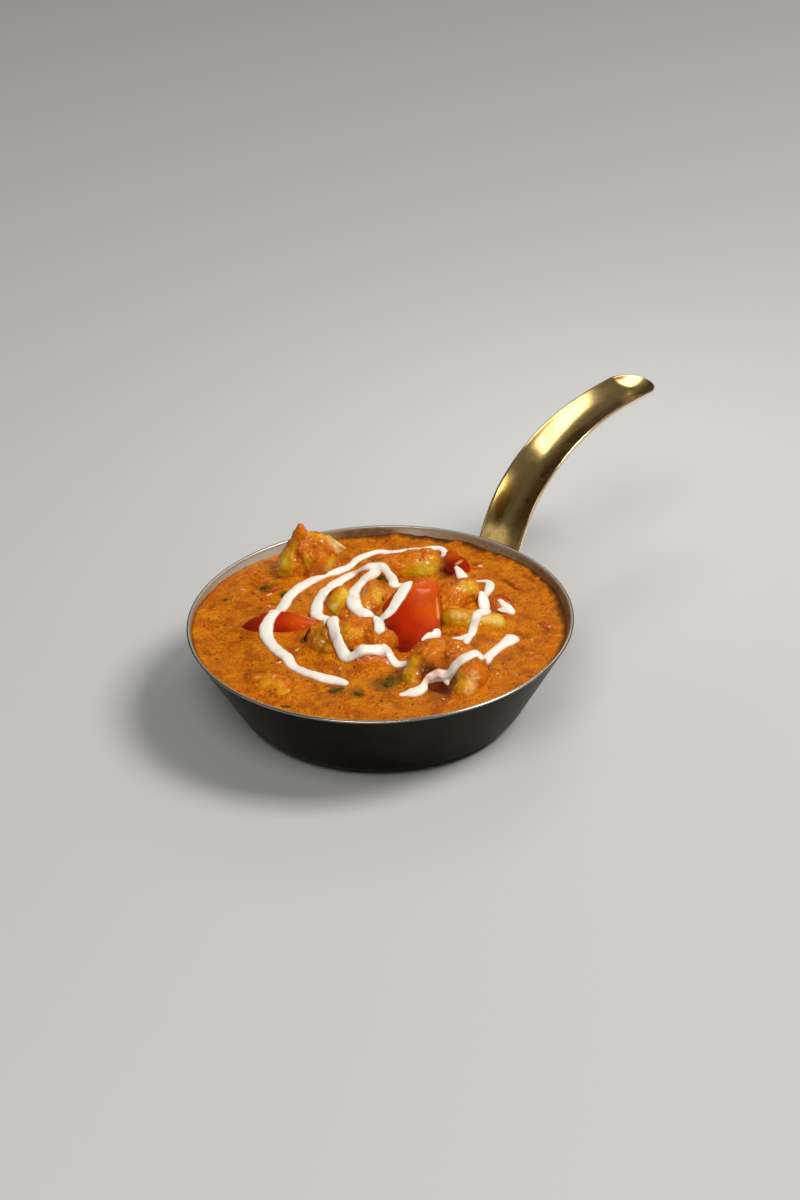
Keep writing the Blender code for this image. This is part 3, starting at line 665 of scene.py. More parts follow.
class Lumps:
    """Smooth lumpy noise in space, the same in each run."""

    SIDE = 32
    SHIFT = 7.3

    def __init__(self, seed: int) -> None:
        """Draws the lattice of values."""
        self.lattice = np.random.default_rng(seed).random((self.SIDE,) * 3) * 2.0 - 1.0

    def at(self, points: np.ndarray, pitch: float) -> np.ndarray:
        """One layer of noise.

        Args:
            points: Rows of x, y, z in millimetres.
            pitch: Distance between the lattice's values in millimetres.

        Returns:
            One value from -1 to 1 for each row.
        """
        place = points / pitch
        cell = np.floor(place).astype(int)
        share = place - cell
        share = share * share * (3.0 - 2.0 * share)
        total = np.zeros(len(points))
        for corner in np.ndindex(2, 2, 2):
            weight = np.prod(np.where(corner, share, 1.0 - share), axis=1)
            i, j, k = ((cell + corner) % self.SIDE).T
            total += weight * self.lattice[i, j, k]
        return total

    def layered(self, points: np.ndarray, layers: Layers) -> np.ndarray:
        """A sum of layers, each a pitch and a height in millimetres."""
        return sum(height * self.at(points + self.SHIFT * pitch, pitch) for pitch, height in layers)


def curve_between(rows: np.ndarray, index: np.ndarray, share: np.ndarray) -> np.ndarray:
    """Points on a smooth curve that passes through rows.

    Args:
        rows: The rows in order, with those before and after the curve's ends.
        index: For each point, the four rows round it; the point is between the middle two.
        share: How far each point is from its second row to its third, as a column.

    Returns:
        The points as rows.
    """
    a, b, c, d = (rows[i] for i in index)
    steep = 2 * a - 5 * b + 4 * c - d
    return 0.5 * (2 * b + (c - a) * share + steep * share**2 + (3 * b - a - 3 * c + d) * share**3)


def smooth_run(stops: Sequence, count: int) -> np.ndarray:
    """A smooth curve through stops.

    Args:
        stops: Rows of numbers that the curve passes through.
        count: Number of points wanted.

    Returns:
        The points, evenly spaced by the curve's parameter.
    """
    rows = np.array(stops, float)
    ends = np.vstack([2 * rows[0] - rows[1], rows, 2 * rows[-1] - rows[-2]])
    place = np.linspace(0.0, len(rows) - 1.0, count)
    k = np.minimum(place.astype(int), len(rows) - 2)
    return curve_between(ends, np.array([k, k + 1, k + 2, k + 3]), (place - k)[:, None])


def softened(values: np.ndarray, passes: int) -> np.ndarray:
    """Smooths the small steps out of a row of values.

    Args:
        values: The row.
        passes: How often its neighbours are mixed in.

    Returns:
        The smoother row.
    """
    for _ in range(passes):
        padded = np.pad(values, 1, mode="edge")
        values = (padded[:-2] + 2.0 * padded[1:-1] + padded[2:]) / 4.0
    return values


def faded(away: np.ndarray, ragged: np.ndarray | float = 0.0) -> np.ndarray:
    """Share of a soft patch: away is 1 at its reach, and ragged is added to the share."""
    return np.clip(SOFT_EDGE - away + ragged, 0.0, 1.0)


def run_distance(points: np.ndarray, start: Stop, end: Stop) -> np.ndarray:
    """Distance of each point from the straight run between two places.

    Args:
        points: Rows of x, y, z.
        start: One end of the run.
        end: The other end, which may be the same place.

    Returns:
        One distance for each point.
    """
    a, b = np.array(start), np.array(end)
    share = np.clip((points - a) @ (b - a) / max((b - a) @ (b - a), TINY), 0.0, 1.0)
    return np.linalg.norm(points - a - share[:, None] * (b - a), axis=1)


def streaked(
    points: np.ndarray,
    patches: Sequence[Patch],
    ragged: np.ndarray | float = 0.0,
    fade: tuple[float, float] = (SOFT_EDGE, 1.0),
) -> np.ndarray:
    """How strongly each point lies in some soft streaks.

    Args:
        points: Rows of x, y, z in millimetres.
        patches: The streaks: two ends, a reach and a strength.
        ragged: An uneven part added to each point's share.
        fade: A streak's share in its middle before it is held to 1, and its loss over the reach.

    Returns:
        One value from 0 to 1 for each point.
    """
    full, loss = fade
    total = np.zeros(len(points))
    for start, end, reach, strength in patches:
        share = full - loss * run_distance(points, start, end) / reach + ragged
        total = np.maximum(total, strength * np.clip(share, 0.0, 1.0))
    return total


def soft_spots(points: np.ndarray, spots: Sequence[Spot]) -> np.ndarray:
    """How deep each point lies in the nearest of some soft round spots, from 0 to 1."""
    return streaked(points, [(spot[:3], spot[:3], spot[3], 1.0) for spot in spots])


def circle(count: int) -> np.ndarray:
    """Even angles once round a circle."""
    return np.linspace(0.0, 2.0 * math.pi, count, endpoint=False)


def skin(rings: np.ndarray) -> Shape:
    """A closed tube through rings of equal size.

    Args:
        rings: An array of rings, each a row of points.

    Returns:
        The points and the faces; the two ends are capped with fans.
    """
    count, size = rings.shape[:2]
    points = np.vstack([rings.reshape(-1, 3), rings[0].mean(axis=0), rings[-1].mean(axis=0)])
    j = np.arange(size)
    k = (j + 1) % size
    faces = [np.column_stack([i * size + j, i * size + k, (i + 1) * size + k, (i + 1) * size + j])
             for i in range(count - 1)]
    middle = np.full(size, count * size)
    last = (count - 1) * size
    faces.append(np.column_stack([k, j, middle, middle]))
    faces.append(np.column_stack([last + j, last + k, middle + 1, middle + 1]))
    return points, np.vstack(faces)


def joined(shapes: Sequence[Shape]) -> Shape:
    """Several shapes as one set of points and faces."""
    starts = np.cumsum([0] + [len(points) for points, _ in shapes])
    return np.vstack([p for p, _ in shapes]), np.vstack([f + s for (_, f), s in zip(shapes, starts)])


def ball(centre: Sequence[float], radius: float, rings: int = 12, sides: int = 18) -> Shape:
    """A round ball as a closed shape.

    Args:
        centre: Its middle.
        radius: Its radius.
        rings: Number of rings from top to bottom.
        sides: Points round each ring.

    Returns:
        The ball's points and faces.
    """
    tip = np.linspace(0.0, math.pi, rings + 2)[1:-1, None]
    turn = circle(sides)[None, :]
    across = np.sin(tip)
    unit = np.stack([across * np.cos(turn), across * np.sin(turn), np.cos(tip) + 0.0 * turn], axis=2)
    return skin(np.asarray(centre) + unit * radius)


def corner_lists(faces: np.ndarray) -> list[list[int]]:
    """Faces as lists of corners; one that repeats its last point is a triangle."""
    return [row[:3] if row[-1] == row[2] else row for row in faces.tolist()]


def facing_out(shape: Shape) -> Shape:
    """Winds a shape's faces so that it holds a positive volume.

    Args:
        shape: A closed shape of triangles or four-sided faces.

    Returns:
        The shape, with every face turned over if it was inside out.
    """
    points, faces = shape
    a, b, c, d = (points[faces[:, i]] for i in (0, 1, 2, -1))
    volume = (a * (np.cross(b, c) + np.cross(c, d))).sum()
    turned_over = [1, 0, *range(faces.shape[1] - 1, 1, -1)]
    return points, faces if volume > 0.0 else faces[:, turned_over]


def mesh_of(name: str, shape: Shape) -> bpy.types.Mesh:
    """Makes a mesh in the shape's own units.

    Args:
        name: The mesh's name.
        shape: Its points and faces.

    Returns:
        The mesh.
    """
    points, faces = shape
    mesh = bpy.data.meshes.new(name)
    mesh.from_pydata(points.tolist(), [], corner_lists(faces))
    mesh.update()
    return mesh


def fused(shapes: Sequence[Shape], voxel: float, smoothing: int) -> tuple[np.ndarray, np.ndarray, np.ndarray]:
    """One even skin round overlapping closed shapes.

    Args:
        shapes: The closed shapes, in millimetres.
        voxel: Size of the new faces in millimetres.
        smoothing: Number of smoothing passes.

    Returns:
        The new points, faces and unit normals.
    """
    work = bpy.data.objects.new("work", mesh_of("work", joined(shapes)))
    bpy.context.scene.collection.objects.link(work)
    remesh = work.modifiers.new("remesh", "REMESH")
    remesh.mode = "VOXEL"
    remesh.voxel_size = voxel
    soften = work.modifiers.new("soften", "SMOOTH")
    soften.factor = 0.5
    soften.iterations = smoothing
    bpy.context.view_layer.update()
    seen = work.evaluated_get(bpy.context.evaluated_depsgraph_get())
    mesh = seen.to_mesh()
    points = np.empty(len(mesh.vertices) * 3)
    normals = np.empty(len(mesh.vertices) * 3)
    corners = np.empty(len(mesh.loops), int)
    mesh.vertices.foreach_get("co", points)
    mesh.vertex_normals.foreach_get("vector", normals)
    mesh.loops.foreach_get("vertex_index", corners)
    seen.to_mesh_clear()
    bpy.data.objects.remove(work, do_unlink=True)
    return points.reshape(-1, 3), corners.reshape(-1, 4), normals.reshape(-1, 3)


def piece(
    name: str,
    shape: Shape,
    finish: bpy.types.Material,
    stands_for: Sequence[str] = (),
    attributes: dict[str, np.ndarray] | None = None,
    own_frame: bool = False,
) -> bpy.types.Object:
    """Makes one visible piece that rides on the part.

    Args:
        name: The piece's name.
        shape: Points in millimetres and faces.
        finish: Its material.
        stands_for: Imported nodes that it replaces.
        attributes: Values for each point that the material reads.
        own_frame: True if the points are already turned into the part's frame.

    Returns:
        The object.
    """
    points, faces = facing_out(shape)
    mesh = mesh_of(name, (points * MM if own_frame else turned(points), faces))
    mesh.shade_smooth()
    mesh.materials.append(finish)
    for key, values in (attributes or {}).items():
        layer = mesh.attributes.new(key, "FLOAT", "POINT")
        layer.data.foreach_set("value", np.clip(values, 0.0, 1.0).astype(np.float32))
    made = bpy.data.objects.new(name, mesh)
    bpy.context.scene.collection.objects.link(made)
    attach(made, BODY)
    if stands_for:
        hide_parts(*stands_for)
    log.info("%s: %d points, %d faces", name, len(points), len(faces))
    return made


class Ground:
    """The upper side of shapes already laid, for what is poured or dropped on them."""

    SKY = 200.0
    DOWN = Vector((0.0, 0.0, -1.0))

    def __init__(self, shapes: Sequence[Shape]) -> None:
        """Builds the search tree."""
        alike = [(p, f if f.shape[1] == 4 else np.column_stack([f, f[:, 2]])) for p, f in shapes]
        points, faces = joined(alike)
        self.tree = BVHTree.FromPolygons(points.tolist(), corner_lists(faces))

    def height(self, x: float, y: float, fallback: float = 36.0) -> float:
        """Height of the upper side at a place."""
        hit = self.tree.ray_cast(Vector((x, y, self.SKY)), self.DOWN)[0]
        return hit.z if hit else fallback

    def heights(self, places: np.ndarray) -> np.ndarray:
        """Heights at many places, rows of x and y."""
        return np.array([self.height(x, y) for x, y in places])

    def lean(self, x: float, y: float) -> Vector:
        """Which way the upper side faces.

        Args:
            x: Place in millimetres.
            y: Place in millimetres.

        Returns:
            Its upward normal there.
        """
        normal = self.tree.ray_cast(Vector((x, y, self.SKY)), self.DOWN)[1]
        if normal is None:
            return -self.DOWN
        return normal if normal.z > 0.0 else -normal

    def distance(self, point: Sequence[float], limit: float) -> float:
        """Distance from a point to the nearest surface, at most limit."""
        found = self.tree.find_nearest(Vector(point), limit)[3]
        return limit if found is None else found


@dataclass(frozen=True)
class Flank:
    """A side of the pan, full at its middle and fading round from it."""

    azimuth: float
    gain: float
    cut: float
    most: float = 1.0

    def share(self, azimuth: np.ndarray) -> np.ndarray:
        """How far directions from the axis, in radians, lie in the side."""
        return np.clip(np.cos(azimuth - math.radians(self.azimuth)) * self.gain - self.cut, 0.0, self.most)


@dataclass
class Pan:
    """The turned steel shell."""

    rim_radius: float = 79.8
    height: float = 40.0
    lean: float = math.radians(29.0)
    corner: float = 12.0
    sheet: float = 1.2
    lip: float = 0.45
    sectors: int = 256
    hole: float = 0.02
    stain: Flank = Flank(12.0, 1.6, 0.7, 0.6)
    stain_foot: tuple[float, float] = (33.0, 35.0)
    stain_head: tuple[float, float] = (39.7, 38.9)
    smear_azimuth: float = math.radians(94.0)
    smear_reach: float = 0.16
    smear_strength: float = 2.0
    everywhere: float = 0.05
    # Heights of the rim's painted highlight band.
    rim_highlight_band: tuple[float, float] = (39.3, 39.7)
    # Painted reflection inside, by direction round the axis in degrees: brown tarnish, falling to 0 where a
    # bright reflection is painted.
    tarnish_and_reflection: tuple[tuple[float, float], ...] = (
        (-180.0, 1.0), (-90.0, 0.5), (-30.0, 1.0), (24.0, 1.0), (33.0, 0.85), (45.0, 0.45), (57.0, 0.8),
        (69.0, 0.65), (79.0, 0.45), (86.0, 0.9), (96.0, 1.0), (104.0, 0.95), (112.0, 0.45), (129.0, 0.0),
        (139.0, 0.15), (155.0, 0.4), (168.0, 0.8), (180.0, 1.0))

    def profile(self, inset: float, top: float, steps: int = 12, rows: int = 36) -> np.ndarray:
        """(radius, height) points from the base's middle up the wall.

        Args:
            inset: Distance inside the outer face.
            top: Height at which the wall ends.
            steps: Points round the corner.
            rows: Points up the wall.

        Returns:
            The points as rows.
        """
        turn = math.pi / 2 - self.lean
        tangent = self.corner - self.corner * math.cos(turn)
        base = self.rim_radius - (self.height - tangent) * math.tan(self.lean) - self.corner * math.sin(turn)
        angle = np.linspace(0.0, turn, steps + 1)
        bend = self.corner - inset
        corner = np.column_stack([base + bend * np.sin(angle), self.corner - bend * np.cos(angle)])
        rise = np.linspace(0.0, top - corner[-1, 1], rows + 1)[1:, None]
        wall = corner[-1] + rise * np.array([math.tan(self.lean), 1.0])
        flat = np.column_stack([np.linspace(0.0, base, 9)[:-1], np.full(8, inset)])
        return np.vstack([flat, corner, wall])

    def wall_radius(self, height: float, inset: float = 0.0) -> float:
        """The wall's radius at a height, inset from its outer face."""
        return float(self.profile(inset, height)[-1, 0])

    def build(self) -> None:
        """Makes the shell with its rounded rim."""
        outer = self.profile(0.0, self.height - self.lip)
        inner = self.profile(self.sheet, self.height - self.lip)[::-1]
        middle = (outer[-1] + inner[0]) / 2
        angle = np.linspace(0.0, math.pi, 9)[1:-1, None]
        half = (outer[-1, 0] - inner[0, 0]) / 2
        rim = np.column_stack([middle[0] + half * np.cos(angle), middle[1] + self.lip * np.sin(angle)])
        profile = np.vstack([outer, rim, inner])
        profile[[0, -1], 0] = self.hole
        turn = circle(self.sectors)
        radius, height = profile[:, :1], profile[:, 1:]
        rings = np.stack([radius * np.cos(turn), radius * np.sin(turn), height + 0.0 * turn], axis=2)
        points, faces = skin(rings)
        level = points[:, 2]
        azimuth = np.arctan2(points[:, 1], points[:, 0])
        inside = np.zeros(len(points))
        inside[(len(outer) + len(rim) // 2) * self.sectors:] = 1.0
        near = ramp(level, *self.stain_foot) * ramp(level, *self.stain_head)
        smear = faded(np.abs(azimuth - self.smear_azimuth) / self.smear_reach) * self.smear_strength
        stain = inside * near * np.maximum(self.everywhere + self.stain.share(azimuth), smear)
        # Painted reflection and tarnish on the inside, by direction round the axis.
        tarnish_and_reflection = inside * np.interp(np.degrees(azimuth), *zip(*self.tarnish_and_reflection))
        # Painted highlight band at the rim's top.
        lip = ramp(level, *self.rim_highlight_band)
        attributes = {"stain": stain, "tarnish_and_reflection": tarnish_and_reflection, "inner": inside, "lip": lip}
        piece("pan_shell", (points, faces), SteelFinish().made(), ["pan"], attributes)


@dataclass
class Handle:
    """The brass strap and the rivets that hold it."""

    pan: Pan
    half_width: float = 11.0
    tip_half_width: float = 12.2
    sheet: float = 2.0
    sag: float = 2.4
    tip_sag: float = 3.8
    length: float = 117.95
    end_slope: float = math.radians(-6.0)
    bend_power: float = 1.72
    sag_run: float = 22.0
    foot_length: float = 24.0
    foot_round: float = 9.0
    tip_round: float = 10.0
    tip_run: float = 45.0
    thinnest: float = 0.03
    gap: float = 0.5
    stations: int = 220
    crowding: float = 0.14
    columns: int = 28
    edge: float = 0.45
    # Painted dark reflection: an oval near the foot, by its place and reach along and across the strap, and a
    # strip along one side that grows from the foot.
    dark_reflection_spot: tuple[float, float] = (18.5, 0.5)
    dark_reflection_reach: tuple[float, float] = (10.0, 0.36)
    dark_reflection_side: tuple[float, float] = (-0.1, -0.6)
    dark_reflection_run: float = 12.0
    rivet_offset: float = 5.5
    rivet_depth: float = 12.0
    rivet_profile: tuple[tuple[float, float], ...] = (
        (0.01, -1.2), (1.6, -1.2), (1.6, 2.6), (3.1, 2.6), (3.1, 3.0), (2.7, 3.5), (1.9, 3.8), (0.9, 3.9),
        (0.01, 3.9))

    def slope(self, s: float) -> float:
        """The strap's slope.

        Args:
            s: Place along the strap in millimetres, 0 at the rim.

        Returns:
            The slope in radians.
        """
        start = math.pi / 2 - self.pan.lean
        if s <= 0.0:
            return start
        left = 1.0 - min(s / self.length, 1.0)
        return self.end_slope + (start - self.end_slope) * left**self.bend_power

    def place(self, s: float, steps: int = 64) -> tuple[float, float]:
        """Where the strap's upper face is.

        Args:
            s: Place along the strap.
            steps: Number of short straight runs summed up to there.

        Returns:
            Its distance from the pan's axis and its height.
        """
        r = self.pan.wall_radius(self.pan.height, -self.gap)
        z = self.pan.height
        for i in range(steps):
            slope = self.slope(s * (i + 0.5) / steps)
            r += math.cos(slope) * s / steps
            z += math.sin(slope) * s / steps
        return r, z

    def end_share(self, s: float) -> float:
        """How near a place is to the very end of the round foot or tip.

        Args:
            s: Place along the strap.

        Returns:
            0 along the strap, growing to 1 at either end.
        """
        for inside, span in ((s + self.foot_length, self.foot_round), (self.length - s, self.tip_round)):
            if inside < span:
                return 1.0 - inside / span
        return 0.0

    def ring(self, s: float) -> tuple[np.ndarray, np.ndarray]:
        """One section across the strap.

        Args:
            s: Place along the strap.

        Returns:
            The section's points and, for each, 1 on the cut edge or 0 elsewhere.
        """
        r, z = self.place(s)
        slope = self.slope(s)
        tip = min(max((s - self.length + self.tip_run) / self.tip_run, 0.0), 1.0) ** 2
        end = self.end_share(s)
        full = self.half_width + (self.tip_half_width - self.half_width) * tip
        half = full * math.sqrt(max(1.0 - end**2, self.thinnest**2))
        hug = math.cos(self.pan.lean) / (2.0 * self.pan.wall_radius(min(z, self.pan.height)))
        sag = self.sag + (self.tip_sag - self.sag) * tip
        rise = hug + (sag / full**2 - hug) * min(max(s / self.sag_run, 0.0), 1.0)
        lip = sag * end**2 if s > 0.0 else 0.0
        flat = half - min(self.edge, half * 0.5)
        across = flat * np.linspace(-1.0, 1.0, self.columns)
        turn = np.linspace(0.0, math.pi, 7)[1:-1]
        thick = self.sheet / 2.0
        upper = np.column_stack([across, rise * across**2 + lip])
        edge_up = rise * flat**2 + lip - thick + thick * np.cos(turn)
        right = np.column_stack([flat + (half - flat) * np.sin(turn), edge_up])
        lower = np.column_stack([across[::-1], rise * across**2 + lip - self.sheet])
        left = right[::-1] * (-1.0, 1.0)
        outline = np.vstack([upper, right, lower, left])
        cut = np.repeat([0.0, 1.0, 0.0, 1.0], [len(upper), len(right), len(lower), len(left)])
        up = outline[:, 1]
        return np.column_stack([r - math.sin(slope) * up, outline[:, 0], z + math.cos(slope) * up]), cut

    def build(self) -> None:
        """Makes the strap and its two rivets."""
        brass = BrassFinish().made()
        share = np.linspace(0.0, 1.0, self.stations)
        eased = share - np.sin(2.0 * math.pi * share) * self.crowding
        places = -self.foot_length + (self.foot_length + self.length) * eased
        runs = [self.ring(s) for s in places]
        cut = np.concatenate([c for _, c in runs] + [[1.0, 1.0]])
        points, faces = skin(np.array([p for p, _ in runs]))
        along = np.append(np.repeat(places, len(runs[0][1])), [places[0], places[-1]])
        across = points[:, 1] / self.half_width
        # Painted dark reflection: an oval near the foot and a strip along one side.
        spot = [(value - middle) / reach
                for value, middle, reach in zip((along, across), self.dark_reflection_spot, self.dark_reflection_reach)]
        foot = np.clip(1.5 - np.hypot(*spot), 0.0, 1.0)
        shade = np.minimum(ramp(across, *self.dark_reflection_side), 0.8) * np.clip(along / self.dark_reflection_run, 0.2, 1.0)
        attributes = {"lip": cut, "dark_reflection_and_patina_share": np.maximum(foot, shade)}
        piece("brass_strap", (points, faces), brass, ["handle"], attributes, own_frame=True)
        for side, node in ((-1, "rivet_near"), (1, "rivet_far")):
            self.build_rivet(side, node, brass)

    def build_rivet(self, side: int, node: str, brass: bpy.types.Material) -> None:
        """Makes one rivet: its shank through the wall and its domed head.

        Args:
            side: -1 for the near side of the strap, 1 for the far side.
            node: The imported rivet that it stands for.
            brass: Its material.
        """
        height = self.pan.height - self.rivet_depth
        wall = self.pan.wall_radius(height)
        azimuth = side * self.rivet_offset / wall
        turn = circle(32)[:, None]
        lean = self.pan.lean
        out = np.array([math.cos(lean), 0.0, -math.sin(lean)])
        along = np.array([math.sin(lean), 0.0, math.cos(lean)])
        across = np.array([0.0, 1.0, 0.0])
        foot = np.array([wall, 0.0, height])
        rings = [foot + out * level + reach * (np.cos(turn) * along + np.sin(turn) * across)
                 for reach, level in self.rivet_profile]
        points, faces = skin(np.array(rings))
        x, y, z = points.T
        c, s = math.cos(azimuth), math.sin(azimuth)
        none = np.zeros(len(points))
        shape = np.column_stack([x * c - y * s, x * s + y * c, z]), faces
        attributes = {"lip": none, "dark_reflection_and_patina_share": none}
        piece(f"{node}_head", shape, brass, [node], attributes, own_frame=True)


@dataclass(frozen=True)
class Prawn:
    """One cooked prawn: a curled, grooved body with lumps of sauce and bare patches."""

    node: str
    spine: tuple[Spot, ...]
    lumps: tuple[Spot, ...] = ()
    tints: dict[Tint, tuple[Patch, ...]] = field(default_factory=dict)
    fan: tuple[Stop, ...] = ()
    peak: tuple[Stop, ...] = ()
    creases: tuple[Patch, ...] = ()
    fan_half: float = 1.1
    peak_foot: float = 5.2
    peak_tip: float = 1.5
    peak_power: float = 1.4
    segments: int = 6
    groove: float = 0.06
    voxel: float = 0.42
    smoothing: int = 10
    hem: float = 1.3
    coarse: Layers = ((8.0, 0.5), (3.6, 0.3))
    fine: Layers = ((1.9, 0.22), (1.15, 0.27))
    ragged: Layers = ((3.5, 0.16), (1.4, 0.1))
    fade: tuple[float, float] = (1.2, 0.9)
    hem_ragged: Layers = ((2.0, 0.5),)

    RINGS = 90
    SIDES = 32
    CURL_WINDOW = 0.13
    INNER_SHARE = 0.8
    HEAD_ROUND = 0.16
    TAIL_ROUND = 0.12
    PEAK_BALLS = 13

    def body(self) -> Shape:
        """The curled body: blunt at the head's cut, grooved along the back, thin at the tail.

        Returns:
            The body's shape.
        """
        count = self.RINGS
        line = smooth_run(self.spine, count)
        centre = line[:, :3]
        steps = np.diff(centre, axis=0)
        normal = np.cross(steps[:-1], steps[1:]).sum(axis=0)
        normal /= np.linalg.norm(normal)
        window = round(count * self.CURL_WINDOW)
        share = np.linspace(0.0, 1.0, count)
        radius = line[:, 3].copy()
        for part, span in ((share, self.HEAD_ROUND), (1.0 - share, self.TAIL_ROUND)):
            low = part < span
            radius[low] *= np.sqrt(np.maximum(1.0 - (1.0 - part[low] / span) ** 2, 0.01))
        groove = self.groove * np.abs(np.cos(math.pi * self.segments * share)) ** 6
        angle = circle(self.SIDES)
        rings = []
        for k in range(count):
            before, after = max(k - window, 0), min(k + window, count - 1)
            ahead = centre[min(k + 2, count - 1)] - centre[max(k - 2, 0)]
            ahead /= np.linalg.norm(ahead)
            side = normal - ahead * normal.dot(ahead)
            side /= np.linalg.norm(side)
            inward = np.cross(side, ahead)
            first, last = centre[k] - centre[before], centre[after] - centre[k]
            bend = math.atan2(np.linalg.norm(np.cross(first, last)), first.dot(last))
            curl = (np.linalg.norm(first) + np.linalg.norm(last)) / 2 / max(bend, 0.01)
            reach = radius[k] * (1.0 - groove[k] * (0.6 - 0.4 * np.cos(angle)))
            towards = np.minimum(reach * np.cos(angle), self.INNER_SHARE * curl)
            rings.append(centre[k] + towards[:, None] * inward + (reach * np.sin(angle))[:, None] * side)
        return skin(np.array(rings))

    def extras(self) -> list[Shape]:
        """Lumps, and on one prawn the stiff tail end and the peak of sauce.

        Returns:
            The shapes to fuse with the body.
        """
        made = [ball(place, radius) for *place, radius in self.lumps]
        if self.fan:
            back = np.array([0.0, self.fan_half, 0.0])
            outline = np.array(self.fan)
            made.append(skin(np.stack([outline - back, outline + back])))
        if self.peak:
            foot, tip = (np.array(p) for p in self.peak)
            for share in np.linspace(0.0, 1.0, self.PEAK_BALLS):
                radius = self.peak_foot + (self.peak_tip - self.peak_foot) * share**self.peak_power
                made.append(ball(foot + (tip - foot) * share, radius))
        return made

    def creased(self, points: np.ndarray) -> np.ndarray:
        """How deep the folds press in.

        Args:
            points: Rows of x, y, z in millimetres.

        Returns:
            One depth in millimetres for each point.
        """
        total = np.zeros(len(points))
        for start, end, width, depth in self.creases:
            total += depth * np.exp(-(run_distance(points, start, end) / width) ** 2)
        return total

    def build(self, finish: bpy.types.Material, grain: Lumps, level: Callable) -> Shape:
        """Makes the prawn.

        Args:
            finish: The prawns' material.
            grain: Noise for the sauce's lumps.
            level: The still gravy's height at given x and y.

        Returns:
            The prawn's shape, for what lies on it.
        """
        points, faces, normals = fused([self.body(), *self.extras()], self.voxel, self.smoothing)
        ragged = grain.layered(points, self.ragged)
        tints = {tint.value: streaked(points, self.tints.get(tint, ()), ragged, self.fade) for tint in Tint}
        sauced = 1.0 - 0.6 * np.clip(tints[Tint.FLESH.value] * 1.5, 0.0, 1.0)
        relief = grain.layered(points, self.coarse)
        fine = grain.layered(points, self.fine)
        fold = self.creased(points)
        move = relief * (0.4 + 0.6 * sauced) + fine * sauced - fold
        points = points + normals * move[:, None]
        # Painted shade in the hollows of the relief and in the folds.
        tints["hollow_shade"] = np.clip(-(relief * 0.8 + fine * 1.8) * sauced - 0.1 + fold * 0.5, 0.0, 1.0)
        over = points[:, 2] - level(points[:, 0], points[:, 1])
        tints["hem"] = faded(over / self.hem, grain.layered(points, self.hem_ragged))
        piece(self.node + "_dressed", (points, faces), finish, [self.node], tints)
        return points, faces


